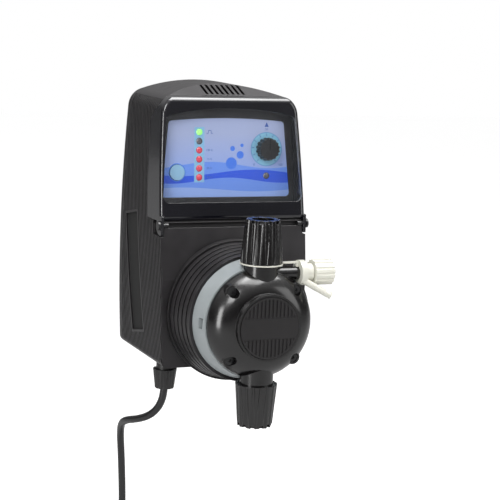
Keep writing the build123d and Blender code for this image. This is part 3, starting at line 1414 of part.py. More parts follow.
with BuildPart() as gland_nut:
    with BuildSketch(Plane(origin=(GLAND_X, GLAND_Y, CASE_BOTTOM - GLAND_BASE_LENGTH), z_dir=down)):
        Circle(GLAND_NUT_RADIUS)
        with PolarLocations(GLAND_NUT_RADIUS + gland_flute_radius / 3, gland_flutes):
            Circle(gland_flute_radius, mode=Mode.SUBTRACT)
    extrude(amount=GLAND_NUT_LENGTH, taper=gland_taper)
    with BuildSketch(Plane.XY.offset(CASE_BOTTOM - seal_end)):
        with Locations((GLAND_X, GLAND_Y)):
            Circle(gland_lower_thread + RUNNING_GAP)
    extrude(amount=far_side, mode=Mode.SUBTRACT)
    with BuildSketch(Plane.XY.offset(CASE_BOTTOM - nut_end)):
        with Locations((GLAND_X, GLAND_Y)):
            Circle(cord_hole)
    extrude(amount=far_side, mode=Mode.SUBTRACT)
save(gland_nut, "gland_nut")

# ================================================================ power cord, coil, tie and plug
coil_y = -15.2
coil_x = -16
cord_start_z = CASE_BOTTOM - lower_thread_end - 2
cord_points = [
    (GLAND_X, GLAND_Y, cord_start_z),
    (GLAND_X, GLAND_Y, -154.9),
    (-49.3, -77.4, -166.3),
    (-54, -69.8, -175.2),
    (-60.5, -59.3, -180.6),
    (-64.4, -44.4, -184.8),
    (-64.2, -29.8, -191.2),
    (-61.4, -20, -203.5),
    (-58.4, -14.9, -220.6),
    (-55.6, -12.8, -245),
    (-52.8, -13.3, -273),
    (coil_x - COIL_RADIUS, coil_y, COIL_CENTRE_Z + 18),
]


def bend_radii(points):
    """Radius at each inner corner that uses 0.45 of the shorter run beside it."""
    radii = []
    for before, here, after in zip(points, points[1:], points[2:]):
        first = Vector(*here) - Vector(*before)
        second = Vector(*after) - Vector(*here)
        turn = first.get_angle(second)
        radii.append(0.45 * min(first.length, second.length) / tan(radians(turn) / 2))
    return radii


cord_radii = bend_radii(cord_points)
print("cord bend radii", [round(radius, 1) for radius in cord_radii])

with BuildPart() as power_cord:
    with BuildLine() as cord_path:
        FilletPolyline(*cord_points, radius=cord_radii)
    with BuildSketch(Plane(origin=cord_points[0], z_dir=down)):
        Circle(CORD_RADIUS)
    sweep(path=cord_path.line)
save(power_cord, "power_cord")
cord_length = sum(edge.length for edge in cord_path.edges())
print("cord tube", round(power_cord.part.volume), "of", round(pi * CORD_RADIUS**2 * cord_length))

coil_centre = (coil_x, coil_y, COIL_CENTRE_Z)
with BuildPart() as cord_coil:
    with BuildSketch(Plane(origin=(coil_x + COIL_RADIUS, coil_y, COIL_CENTRE_Z), z_dir=upward)):
        RectangleRounded(2 * COIL_HALF_WIDTH, 2 * COIL_HALF_DEPTH, COIL_CORNER)
    revolve(axis=Axis(coil_centre, forward))
save(cord_coil, "cord_coil")

tie_arc = degrees(TIE_WIDTH / COIL_RADIUS)
with BuildPart() as cord_tie:
    with BuildSketch(Plane(origin=(coil_x - COIL_RADIUS, coil_y, COIL_CENTRE_Z), z_dir=upward)):
        RectangleRounded(
            2 * (COIL_HALF_WIDTH + TIE_THICK), 2 * (COIL_HALF_DEPTH + TIE_THICK), COIL_CORNER + TIE_THICK
        )
        RectangleRounded(2 * COIL_HALF_WIDTH, 2 * COIL_HALF_DEPTH, COIL_CORNER, mode=Mode.SUBTRACT)
    revolve(axis=Axis(coil_centre, forward), revolution_arc=tie_arc)
save(cord_tie, "cord_tie")

plug_x = coil_x - COIL_RADIUS + 2
plug_y = coil_y - COIL_HALF_DEPTH + CORD_RADIUS
relief_top = COIL_CENTRE_Z - PLUG_DROP
pin_places = [(plug_x + side * PLUG_PIN_SPACING / 2, plug_y) for side in (-1, 1)]
plug_end = relief_top - PLUG_RELIEF - PLUG_LENGTH
pin_bite = 3
plug_shoulder = 9
plug_waist = 5
relief_radius = CORD_RADIUS + 0.8
relief_growth = 1.4
with BuildPart() as mains_plug:
    plug_points = [
        (0, 0), (relief_radius, 0), (relief_radius + relief_growth, PLUG_RELIEF),
        (PLUG_RADIUS - plug_waist, PLUG_RELIEF), (PLUG_RADIUS, PLUG_RELIEF + plug_shoulder),
        (PLUG_RADIUS, PLUG_RELIEF + PLUG_LENGTH), (0, PLUG_RELIEF + PLUG_LENGTH),
    ]
    add(turned(plug_points, (plug_x, plug_y, relief_top), down))
    with BuildSketch(Plane.XY.offset(plug_end)):
        with Locations(*pin_places):
            Circle(PLUG_PIN_RADIUS)
    extrude(amount=pin_bite, mode=Mode.SUBTRACT)
save(mains_plug, "mains_plug")

with BuildPart() as plug_pins:
    with BuildSketch(Plane.XY.offset(plug_end + pin_bite)):
        with Locations(*pin_places):
            Circle(PLUG_PIN_RADIUS)
    extrude(amount=-(PLUG_PIN_LENGTH + pin_bite))
save(plug_pins, "plug_pins")
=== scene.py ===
# %% [markdown]
# # A diaphragm metering pump, dressed for its portrait
# The solids of this pump come ready made from its CAD source, so this lesson is about
# looks: a camera, soft light, a real cord, and a finish for each plastic, metal and print.
# Lengths are in metres, except where a name ends in _mm.

# %% Load the frame
import json
from math import cos, pi, radians, sin

import bpy
import numpy as np
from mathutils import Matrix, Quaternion, Vector


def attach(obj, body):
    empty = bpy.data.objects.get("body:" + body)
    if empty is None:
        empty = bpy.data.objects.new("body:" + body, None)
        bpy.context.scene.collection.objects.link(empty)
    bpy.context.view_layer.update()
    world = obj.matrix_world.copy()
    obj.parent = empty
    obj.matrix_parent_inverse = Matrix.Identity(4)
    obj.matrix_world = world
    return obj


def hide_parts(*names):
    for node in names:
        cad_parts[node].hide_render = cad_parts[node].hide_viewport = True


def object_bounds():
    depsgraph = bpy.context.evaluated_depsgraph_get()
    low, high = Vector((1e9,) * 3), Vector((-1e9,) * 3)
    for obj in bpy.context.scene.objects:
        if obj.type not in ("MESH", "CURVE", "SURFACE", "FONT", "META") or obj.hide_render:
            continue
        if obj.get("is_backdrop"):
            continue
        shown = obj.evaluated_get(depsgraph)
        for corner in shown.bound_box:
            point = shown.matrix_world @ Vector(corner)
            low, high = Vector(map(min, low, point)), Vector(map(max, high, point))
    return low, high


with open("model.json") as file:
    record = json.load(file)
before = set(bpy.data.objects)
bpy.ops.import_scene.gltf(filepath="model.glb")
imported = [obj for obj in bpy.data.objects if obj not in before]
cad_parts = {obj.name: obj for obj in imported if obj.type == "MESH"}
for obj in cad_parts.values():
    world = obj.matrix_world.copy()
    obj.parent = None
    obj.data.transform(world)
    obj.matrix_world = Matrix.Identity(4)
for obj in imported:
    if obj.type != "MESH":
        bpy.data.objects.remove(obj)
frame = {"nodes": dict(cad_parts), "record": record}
cad_low, cad_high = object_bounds()
nodes = frame["nodes"]
mm = 0.001
print("CAD nodes", len(nodes), "box", [round(v, 4) for v in (*cad_low, *cad_high)])

# %% [markdown]
# ## Camera
# The pump is seen from its left front and a little above, through a long lens, which keeps
# the case's sides nearly parallel. The camera could be placed by hand in the viewport; here
# its place, target and small roll are numbers, so that every run gives the same picture.

# %% Camera
camera_data = bpy.data.cameras.new("portrait_camera")
camera_data.lens = 115.2
camera_data.sensor_width = 36
camera = bpy.data.objects.new("portrait_camera", camera_data)
bpy.context.scene.collection.objects.link(camera)
camera.location = (-0.4785, -1.2311, 0.1628)
aim = Vector((-0.00975, -0.153, -0.0291)) - camera.location
camera.rotation_mode = "QUATERNION"
camera.rotation_quaternion = aim.to_track_quat("-Z", "Y") @ Quaternion((0, 0, 1), radians(2.46))
bpy.context.scene.camera = camera
bpy.context.scene.view_settings.view_transform = "Standard"
print("camera stands", round(aim.length, 3), "m from what it looks at")

# %% [markdown]
# ## Power cord
# The real cord is a round PVC jacket, 6 mm across and 1.5 m long, that leaves the gland under
# the case, bends back to the wall and hangs there. What is not needed is wound into a neat
# coil of six turns, tied once, with the plug hanging from it. A swept mesh would do, but a
# NURBS curve with a round bevel bends as a cord does, with no corners, so it is used here.

# %% The route from the gland to the coil
cord_radius = 3 * mm
route_mm = [
    (-47, -81, -143.9),
    (-47, -81, -154.9),
    (-49.3, -77.4, -166.3),
    (-54, -69.8, -175.2),
    (-60.5, -59.3, -180.6),
    (-64.4, -44.4, -184.8),
    (-64.2, -29.8, -191.2),
    (-61.4, -20, -203.5),
    (-58.4, -14.9, -220.6),
    (-56.2, -12.8, -245),
    (-54.8, -11.6, -270),
    (-55.4, -9.4, -295),
]
print("route points", len(route_mm))


# %% The coil's turns
def smooth(value, start, width):
    """0 before start, 1 after start + width, and 3 t^2 - 2 t^3 of the share t between them."""
    share = np.clip((value - start) / width, 0, 1)
    return share**2 * (3 - 2 * share)


def turn_points(turns, per_turn, centre_mm):
    """Points of the winding: each turn keeps its own radius and depth and changes them in a window of
    angle of its own, so that neighbours never meet. A point is centre + radius * (cos, sin) of the
    angle, which starts at the left and goes down, and its depth is a step function of the angle."""
    angle = 180 + 360 * np.arange(turns * per_turn + 1) / per_turn
    turn = np.minimum((angle - 180) // 360, turns - 1)
    within = angle - 360 * turn
    step = 6.2
    radius = 34 + step * np.array([1, 0, -1, -1, 0, 1])[turn.astype(int)]
    depth = step * np.array([1, 1, 1, 0, 0, 0])[turn.astype(int)]
    radius = radius - step * smooth(within, 440, 100) * (turn < 2)
    radius = radius + step * smooth(within, 290, 100) * ((turn == 3) | (turn == 4))
    radius = radius - 8.2 * smooth(within, 300, 240) * (turn == 5)
    depth = depth - step * smooth(within, 378, 75) * (turn == 2)
    depth = depth - step * smooth(within, 228, 75) * (turn == 5)
    depth = depth - 2.3 * smooth(within, 300, 240) * (turn == 5)
    control = radius / (3 + cos(2 * pi / per_turn)) * 4
    x = centre_mm[0] + control * np.cos(np.radians(angle))
    z = centre_mm[2] + control * np.sin(np.radians(angle))
    return np.column_stack([x, centre_mm[1] + depth, z])


coil_mm = turn_points(6, 16, (-16, -14, -320))
tail_mm = np.array([(-48, -22.5, -331), (-48, -22.5, -341)])
cord_points = np.vstack([np.array(route_mm), coil_mm, tail_mm]) * mm
print("cord points", len(cord_points))


# %% The cord as a NURBS curve
def nurbs_tube(name, points, radius):
    """A round tube whose centre line is one open NURBS spline with these points as its control points."""
    curve = bpy.data.curves.new(name, "CURVE")
    curve.dimensions = "3D"
    curve.bevel_depth = 1
    curve.bevel_resolution = 5
    curve.resolution_u = 6
    curve.use_fill_caps = True
    spline = curve.splines.new("NURBS")
    spline.points.add(len(points) - 1)
    spline.points.foreach_set("co", np.column_stack([points, np.ones(len(points))]).ravel())
    spline.points.foreach_set("radius", np.full(len(points), radius))
    spline.order_u = 3
    spline.use_endpoint_u = True
    tube = bpy.data.objects.new(name, curve)
    bpy.context.scene.collection.objects.link(tube)
    return tube


cord_tube = nurbs_tube("mains_cord", cord_points, cord_radius)
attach(cord_tube, "pump")
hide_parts("power_cord", "cord_coil")
print("cord made")

# %% [markdown]
# ## Colour and node helpers
# Colours are written as the hex values a painter would pick on a screen, and one function
# turns them to the linear light values that shaders use. One more function adds a node,
# with its settings and what is joined to its inputs, so that a material reads like a recipe.


# %% Helpers
def linear(code, alpha=1.0):
    """Linear colour of an sRGB hex value: c / 12.92 below 0.04045, else ((c + 0.055) / 1.055) ** 2.4."""
    parts = [int(code[i:i + 2], 16) / 255 for i in (1, 3, 5)]
    return (*[c / 12.92 if c <= 0.04045 else ((c + 0.055) / 1.055) ** 2.4 for c in parts], alpha)


def add(tree, kind, inputs=None, **settings):
    """Adds a node, sets its properties, and gives each input a value or a link from another node's socket."""
    node = tree.nodes.new(kind)
    for name, value in settings.items():
        setattr(node, name, value)
    for name, value in (inputs or {}).items():
        if isinstance(value, bpy.types.NodeSocket):
            tree.links.new(value, node.inputs[name])
        else:
            node.inputs[name].default_value = value
    return node


def calc(tree, operation, *values, **settings):
    """One step of arithmetic on numbers or sockets."""
    return add(tree, "ShaderNodeMath", dict(enumerate(values)), operation=operation, **settings).outputs[0]


def new_material(name, **shader_inputs):
    """A material with a Principled shader and its output; returns the material, its tree and the shader."""
    material = bpy.data.materials.new(name)
    material.use_nodes = True
    tree = material.node_tree
    tree.nodes.clear()
    shader = add(tree, "ShaderNodeBsdfPrincipled", {k.replace("_", " "): v for k, v in shader_inputs.items()})
    output = add(tree, "ShaderNodeOutputMaterial", {"Surface": shader.outputs[0]})
    output.location = (400, 0)
    return material, tree, shader


def place(tree):
    """Object coordinates, which are the pump's own metres, because every piece sits at the origin."""
    return add(tree, "ShaderNodeTexCoord").outputs["Object"]


def grain(tree, where, size_mm, detail=2.0):
    """Soft noise whose lumps are about size_mm across, from 0 to 1."""
    settings = {"Vector": where, "Scale": 1000 / size_mm, "Detail": detail}
    return add(tree, "ShaderNodeTexNoise", settings).outputs[0]


def between(tree, factor, low, high, lowest=0.0, highest=1.0):
    """A number that goes from low to high as factor goes from lowest to highest."""
    return add(tree, "ShaderNodeMapRange", {
        "Value": factor, "From Min": lowest, "From Max": highest, "To Min": low, "To Max": high,
    }).outputs[0]


def blended(tree, factor, first, second):
    """Colour that goes from first to second with factor; each is a hex value or a socket."""
    first, second = [linear(c) if isinstance(c, str) else c for c in (first, second)]
    return add(tree, "ShaderNodeMix", {0: factor, 6: first, 7: second}, data_type="RGBA").outputs[2]


def bumped(tree, shader, height, depth_mm, edge_mm=0.0):
    """Sends a height pattern to the shader's normal as a bump of depth_mm, over edges rounded by edge_mm."""
    bump = add(tree, "ShaderNodeBump", {"Height": height, "Distance": depth_mm * mm})
    if edge_mm:
        rounded = add(tree, "ShaderNodeBevel", {"Radius": edge_mm * mm}, samples=6)
        tree.links.new(rounded.outputs[0], bump.inputs["Normal"])
    tree.links.new(bump.outputs[0], shader.inputs["Normal"])


finishes = {}
print("helpers ready")

# %% [markdown]
# ## Moulded plastics
# Most of this pump is injection moulded. A mould leaves either its polish or a fine
# spark-eroded grain, and a filled plastic is never one even tone: it is a little mottled
# and its gloss drifts. A picture of real plastic could be wrapped on, but noise at the
# grain's own size works on every face without seams, so each plastic is mixed from noise.


# %% Plastics
painted_shade_reach_mm = 5


def plastic(
    name, dark, pale, rough, grain_mm, depth_mm,
    specular=0.5, coat=0.0, mottle_mm=14, edge_mm=0.0, painted_shade_tone=None,
):
    """Two tones mixed by broad mottle, roughness that drifts by a tenth, and a fine moulded grain. Edges
    are rounded by edge_mm, and narrow hollows get painted shade: their colour goes towards the given
    shade tone as their open share of sky falls."""
    material, tree, shader = new_material(
        name, Specular_IOR_Level=specular, Coat_Weight=coat, Coat_Roughness=0.08,
    )
    where = place(tree)
    mottle = grain(tree, where, mottle_mm, 4)
    fine = grain(tree, where, grain_mm)
    tone = blended(tree, mottle, dark, pale)
    # Painted shade: grooves and hollows are darkened towards a shade tone by how little open sky they see.
    if painted_shade_tone:
        reach = {"Distance": painted_shade_reach_mm * mm}
        sky = add(tree, "ShaderNodeAmbientOcclusion", reach, samples=8).outputs["AO"]
        tone = blended(tree, between(tree, sky, 0.0, 1.0, 0.35, 0.95), painted_shade_tone, tone)
    tree.links.new(tone, shader.inputs["Base Color"])
    tree.links.new(between(tree, mottle, rough - 0.05, rough + 0.05, 0.3, 0.7), shader.inputs["Roughness"])
    bumped(tree, shader, fine, depth_mm, edge_mm)
    return material


# A mould's sharp edges come out rounded by about half a millimetre.
edge_round_mm = 0.5
# Glass-filled polypropylene, spark-eroded mould: satin black with a grey bloom,
# and painted shade in its grooves and hollows.
finishes["case_black"] = plastic(
    "polypropylene_satin_black_painted_shade", "#1a181a", "#262326", 0.42, 0.9, 0.02, 0.45,
    edge_mm=edge_round_mm, painted_shade_tone="#050405",
)
# The same resin in a polished mould, for the pump head and its nuts: deep black, soft-edged shine.
finishes["head_black"] = plastic(
    "polypropylene_gloss_black", "#070506", "#0c0a0b", 0.22, 2.2, 0.012, 0.5, 0.15, edge_mm=edge_round_mm,
)
finishes["head_dull"] = plastic("polypropylene_dull_black", "#121011", "#1a1719", 0.42, 0.8, 0.02, 0.45)
# ABS, polished: the hinged cover's frame.
finishes["gloss_black"] = plastic(
    "abs_polished_black", "#0c0c12", "#121219", 0.13, 6.0, 0.006, 0.5, 0.3, 40, edge_mm=edge_round_mm,
)
finishes["panel_black"] = plastic("abs_matt_black", "#151416", "#1c1b1d", 0.55, 0.7, 0.02, 0.35)
finishes["knob_black"] = plastic("abs_satin_black", "#080709", "#0e0c0f", 0.34, 0.8, 0.012, 0.5)
# Natural, undyed polypropylene: a cool grey white that glows a little.
finishes["ring_white"] = plastic("polypropylene_natural", "#8f9698", "#a5abad", 0.42, 1.0, 0.02, 0.4)
# Polyvinylidene fluoride, natural: warm white and waxy.
finishes["vent_white"] = plastic("pvdf_natural", "#d9d8cc", "#e8e7dc", 0.38, 1.4, 0.02, 0.45)
finishes["button_pale"] = plastic("silicone_pale_blue", "#8fbfe0", "#9dcbe9", 0.5, 0.8, 0.01, 0.35)
finishes["bobbin_nylon"] = plastic("nylon_natural", "#c5beA6", "#d6cfb9", 0.45, 1.2, 0.02, 0.4)
finishes["ptfe"] = plastic("ptfe_skived", "#dedfdb", "#ecece8", 0.5, 1.0, 0.02, 0.35)
finishes["component_black"] = plastic("epoxy_black", "#141414", "#1d1d1d", 0.5, 0.6, 0.02, 0.4)
finishes["gland_grey"] = plastic("nylon_black", "#090809", "#110f10", 0.36, 0.8, 0.015, 0.5)
finishes["seal_rubber"] = plastic("nitrile_rubber", "#151515", "#1e1e1e", 0.62, 0.5, 0.02, 0.3)
finishes["cord_pvc"] = plastic("pvc_jacket_black", "#0d0c0e", "#151416", 0.33, 1.6, 0.03, 0.5, 0.0, 30)
finishes["ceramic"] = plastic("alumina_polished", "#dcdad2", "#efede6", 0.12, 3.0, 0.002, 0.5)
finishes["board_green"] = plastic("solder_mask_green", "#0f4a26", "#15592f", 0.3, 1.5, 0.01, 0.5)
print("plastics", len(finishes))

# %% [markdown]
# ## Painted shade in the pockets in the case's sides
# Each side of the case has a long shallow pocket with a rough floor. The floor is painted nearly black,
# a painted shade of the recess. It could be a separate inlay, but here the tone changes by place: inside
# the pocket's outline and below the ribs' crests.

# %% Pocket
pocket_lean = radians(11.8)
pocket_middle_mm = (0, -39.5, -63.5)
pocket_half_width_mm, pocket_half_length_mm = 13.4, 46.9
case_half_mm, case_narrowing_mm = 60.1, 2.7
widest_mm, narrowing_reach_mm = -26, 103
pocket_edge_mm = 0.1
pocket_tree = finishes["case_black"].node_tree
spot = add(pocket_tree, "ShaderNodeVectorRotate", {
    "Vector": place(pocket_tree), "Center": [c * mm for c in pocket_middle_mm],
    "Axis": (1, 0, 0), "Angle": pocket_lean,
})
where = add(pocket_tree, "ShaderNodeSeparateXYZ", {"Vector": spot.outputs[0]})


def far_from(socket, centre_mm, half_mm):
    """How far, in mm, a coordinate lies outside a band about centre: |1000 * c - centre| - half."""
    offset = calc(pocket_tree, "ABSOLUTE", calc(pocket_tree, "MULTIPLY_ADD", socket, 1000, -centre_mm))
    return calc(pocket_tree, "SUBTRACT", offset, half_mm)


def inside(within, beyond):
    """The value within inside the pocket and beyond outside it, over an edge twice pocket_edge_mm wide."""
    return between(pocket_tree, outside, within, beyond, -pocket_edge_mm, pocket_edge_mm)


# The case narrows below its widest level as a flat arc, so the depth of the pocket's floor
# is measured from a parabola that follows it: half - narrowing * ((z - widest) / reach)^2.
level = calc(
    pocket_tree, "MULTIPLY_ADD", where.outputs["Z"],
    1000 / narrowing_reach_mm, -widest_mm / narrowing_reach_mm,
)
sunk = calc(pocket_tree, "MULTIPLY", level, level)
half_band = far_from(where.outputs["X"], pocket_middle_mm[0], case_half_mm)
outside = calc(pocket_tree, "MULTIPLY_ADD", sunk, case_narrowing_mm, half_band)
for edge in (
    far_from(where.outputs["Y"], pocket_middle_mm[1], pocket_half_width_mm),
    far_from(where.outputs["Z"], pocket_middle_mm[2], pocket_half_length_mm),
):
    outside = calc(pocket_tree, "MAXIMUM", outside, edge)
case_shader = next(node for node in pocket_tree.nodes if node.type == "BSDF_PRINCIPLED")
case_tone = case_shader.inputs["Base Color"].links[0].from_socket
case_gloss = case_shader.inputs["Roughness"].links[0].from_socket
# Painted shade: inside the pocket the colour goes nearly black, and the next line makes it rough.
pocket_painted_shade = blended(pocket_tree, inside(1.0, 0.0), case_tone, "#020202")
rough = calc(pocket_tree, "MAXIMUM", case_gloss, inside(0.85, 0.0))
pocket_tree.links.new(pocket_painted_shade, case_shader.inputs["Base Color"])
pocket_tree.links.new(rough, case_shader.inputs["Roughness"])
print("pocket nodes", len(pocket_tree.nodes))

# %% [markdown]
# ## Metals
# The metals are small and mostly inside: turned or drawn steel, a zinc-plated screw, a
# powder-coated bracket, wound copper and oiled bronze. Brushing and turning leave fine
# lines in one direction, so their noise is stretched along one axis.


# %% Metals
def metal(name, dark, pale, rough, line_mm, depth_mm, stretch=(1, 1, 0.06)):
    """Metallic tone from stretched noise with lines line_mm apart; the same lines drive gloss and bump."""
    material, tree, shader = new_material(name, Metallic=1.0)
    spread = add(tree, "ShaderNodeMapping", {"Vector": place(tree), "Scale": stretch}).outputs[0]
    lines = grain(tree, spread, line_mm, 3)
    tree.links.new(blended(tree, lines, dark, pale), shader.inputs["Base Color"])
    tree.links.new(between(tree, lines, rough - 0.06, rough + 0.08, 0.3, 0.7), shader.inputs["Roughness"])
    bumped(tree, shader, lines, depth_mm)
    return material


finishes["stainless"] = metal("stainless_steel_turned", "#a9a8a4", "#c8c7c3", 0.3, 0.5, 0.006)
finishes["zinc_steel"] = metal("steel_zinc_plated", "#a5a49d", "#c4c5be", 0.36, 0.8, 0.006)
finishes["magnet_steel"] = metal(
    "magnetic_steel_machined", "#77777a", "#98989b", 0.4, 0.6, 0.01, (1, 0.06, 1),
)
finishes["copper_wire"] = metal("copper_enamelled", "#9a4a22", "#c9703a", 0.34, 0.6, 0.06, (0.2, 1, 0.2))
finishes["bronze"] = metal("bronze_sintered", "#8a6534", "#b08a4e", 0.5, 0.4, 0.02, (1, 1, 1))
finishes["brass_pin"] = metal("brass_drawn", "#b89b58", "#d8bf7c", 0.25, 0.5, 0.005)
# Black oxide on steel: a thin, oiled, near-black skin on the head screws and the hinge pins.
finishes["black_steel"] = plastic("steel_black_oxide", "#141416", "#1e1e20", 0.3, 0.7, 0.01, 0.5)
# Powder coat on steel is paint, not bare metal: dark, with an orange-peel surface of 1.5 mm.
finishes["painted_steel"] = plastic("powder_coat_charcoal", "#222224", "#2d2d30", 0.48, 1.5, 0.04, 0.5)
print("metals ready")

# %% [markdown]
# ## Lamps
# Each lamp is a dyed lens with a diode behind it. The lit ones glow from within, most at the
# dome's middle, so their emission is added to a glossy dyed plastic. A light object in each
# lamp would also work, but it would be too small to matter on the label.


# %% Lamps
def lamp_lens(name, edge, middle, strength, where_bright=None):
    """Dyed lens: colour goes from edge to middle with the facing angle, and emission has the same colour."""
    material, tree, shader = new_material(name, Roughness=0.12, Emission_Strength=strength)
    facing = add(tree, "ShaderNodeLayerWeight", {"Blend": 0.4}).outputs["Facing"]
    speck = grain(tree, place(tree), 0.9, 3)
    tone = blended(tree, facing, middle, edge)
    deep = blended(tree, between(tree, speck, 0.0, 0.35, 0.3, 0.7), tone, edge)
    if where_bright is not None:
        height = add(tree, "ShaderNodeSeparateXYZ", {"Vector": place(tree)}).outputs["Z"]
        share = between(tree, height, 0.0, 1.0, where_bright[0], where_bright[1])
        deep = blended(tree, share, deep, where_bright[2])
    tree.links.new(deep, shader.inputs["Base Color"])
    tree.links.new(deep, shader.inputs["Emission Color"])
    return material


finishes["lamp_green"] = lamp_lens("polycarbonate_lens_green_lit", "#3fae3f", "#a6f582", 0.75)
finishes["lamp_red"] = lamp_lens(
    "polycarbonate_lens_red", "#9c1c2e", "#d8455a", 0.35, (0.0385, 0.0415, "#ff6a5e"),
)
finishes["lamp_dark"] = lamp_lens("polycarbonate_lens_smoked", "#2d2c30", "#6d6a70", 0.05)
print("lamps ready")

# %% [markdown]
# ## Clear window
# The window is a 2 mm polycarbonate pane. True refraction would darken the print behind it,
# because soft light doesn't find its way through clear solids quickly. A thin film of gloss
# over a nearly open surface looks the same from here and lets the light through. Towards grazing
# angles the film turns more opaque, and its pale colour there is a painted reflection beside the real gloss.

# %% Window
material, tree, shader = new_material(
    "polycarbonate_clear", Base_Color=linear("#dfe6ee"), Roughness=0.04, Specular_IOR_Level=0.5,
)
edge_on = add(tree, "ShaderNodeLayerWeight", {"Blend": 0.25}).outputs["Fresnel"]
haze = grain(tree, place(tree), 30, 2)
veil = between(tree, haze, 0.006, 0.014, 0.3, 0.7)
# Painted reflection: up to about 0.3 opacity towards grazing angles, so the pale colour shows at the edges.
clear = calc(tree, "MULTIPLY", edge_on, 0.3)
alpha = calc(tree, "ADD", clear, veil, use_clamp=True)
tree.links.new(alpha, shader.inputs["Alpha"])
bumped(tree, shader, haze, 0.02)
finishes["clear_window"] = material
print("window ready")

# %% [markdown]
# ## Printed label
# The label is a satin film, screen printed from behind. Its ground fades from lavender to
# light blue, low waves cross it, rings stand round the knob and the button, and bubbles
# rise between lamps and knob. An image would need pixels, so each shape is instead a
# distance in millimetres from a line or a centre, cut off sharply where the ink ends.

# %% Label
label, tree, shader = new_material("polyester_film_printed", Roughness=0.33, Specular_IOR_Level=0.4)
axes = add(tree, "ShaderNodeSeparateXYZ", {"Vector": place(tree)})
panel_lean = radians(4.9)
panel_y_mm, panel_z_mm = -77, 30
knob_mm, button_mm = (34, 8), (-41.5, -10)
lamps_mm, lamp_pitch_mm = (-23, 21.3), 7.05


def math(operation, first, second=0.0):
    """One step of arithmetic in the label's own shader."""
    return calc(tree, operation, first, second)


across_mm = math("MULTIPLY", axes.outputs["X"], 1000)
up_mm = math("DIVIDE", math("SUBTRACT", axes.outputs["Z"], panel_z_mm * mm), mm * cos(panel_lean))


def inked(distance_mm):
    """1 where the distance is below zero and 0 where it is above, over an edge 0.16 mm wide."""
    return between(tree, distance_mm, 1.0, 0.0, -0.08, 0.08)


def from_centre(x_mm, z_mm):
    """Distance from a centre: the square root of the sum of the squared offsets."""
    dx = math("POWER", math("ABSOLUTE", math("SUBTRACT", across_mm, x_mm)), 2)
    dz = math("POWER", math("ABSOLUTE", math("SUBTRACT", up_mm, z_mm)), 2)
    return math("SQRT", math("ADD", dx, dz))


def wave(level_mm, height_mm, length_mm, shift):
    """How far a point is above the line level + height * sin(x / length + shift)."""
    line = math("MULTIPLY", math("SINE", math("ADD", math("DIVIDE", across_mm, length_mm), shift)), height_mm)
    return math("SUBTRACT", math("SUBTRACT", up_mm, line), level_mm)


def ring(x_mm, z_mm, inner_mm, outer_mm):
    """Ring between two radii: the distance from its middle radius, less half its width."""
    middle, half = (inner_mm + outer_mm) / 2, (outer_mm - inner_mm) / 2
    return math("SUBTRACT", math("ABSOLUTE", math("SUBTRACT", from_centre(x_mm, z_mm), middle)), half)


colour = blended(tree, between(tree, up_mm, 0.0, 1.0, 20, -26), "#b2bfe6", "#8fb0fb")
colour = blended(tree, inked(wave(-4.5, 2.6, 16, 2.4)), colour, "#6f9cf8")
colour = blended(tree, inked(wave(-10.5, 2.4, 19, 0.4)), colour, "#2459ea")
colour = blended(tree, inked(wave(-16.5, 2.2, 15, 1.5)), colour, "#6f9bf8")
colour = blended(tree, inked(wave(-23.5, 1.8, 21, 3.4)), colour, "#9dbcfd")
for x_mm, z_mm, size_mm in ((4, -3, 4.6), (11.5, 3.5, 3.0), (5, 8.5, 2.0), (13, 11, 1.4)):
    colour = blended(tree, inked(math("SUBTRACT", from_centre(x_mm, z_mm), size_mm)), colour, "#4580f2")
colour = blended(tree, inked(ring(*knob_mm, 0, 13.2)), colour, "#8ecdec")
colour = blended(tree, inked(ring(*knob_mm, 12.9, 13.4)), colour, "#5b9fd8")
column = math("SUBTRACT", math("ABSOLUTE", math("SUBTRACT", across_mm, lamps_mm[0])), 4.2)
column_end = math("SUBTRACT", math("ABSOLUTE", math("SUBTRACT", up_mm, 3.7)), 21.5)
colour = blended(tree, inked(math("MAXIMUM", column, column_end)), colour, "#93c9ee")
colour = blended(tree, inked(ring(*button_mm, 6.3, 7.1)), colour, "#4a86e8")
paper = grain(tree, place(tree), 0.5, 3)
colour = blended(tree, between(tree, paper, 0.0, 0.05, 0.3, 0.7), colour, "#7f8fc0")
tree.links.new(colour, shader.inputs["Base Color"])
bumped(tree, shader, paper, 0.004)
finishes["label_film"] = label
print("label nodes", len(tree.nodes))

# %% [markdown]
# ## Scale and numbers on the label
# The dial has eleven strokes from 0 to 100 and plain numbers beside the lamps. They could be
# printed by the shader too, but strokes and numbers are easier to place as a paper-thin
# mesh that lies 0.05 mm in front of the film.


# %% Marks
def on_panel(points_mm, height_mm=0.05):
    """World places, in metres, of (across, up) points: centre + up along the leaning face + height
    along its normal."""
    a, b = points_mm[:, 0], points_mm[:, 1]
    y = panel_y_mm + b * sin(panel_lean) - height_mm * cos(panel_lean)
    z = panel_z_mm + b * cos(panel_lean) + height_mm * sin(panel_lean)
    return np.column_stack([a, y, z]) * mm


def stroke(start, end, width):
    """Four corners of a straight stroke, wound so that its face looks outwards."""
    start, end = np.array(start, float), np.array(end, float)
    side = np.array([-(end - start)[1], (end - start)[0]]) / np.linalg.norm(end - start) * width / 2
    return np.array([start - side, end - side, end + side, start + side])


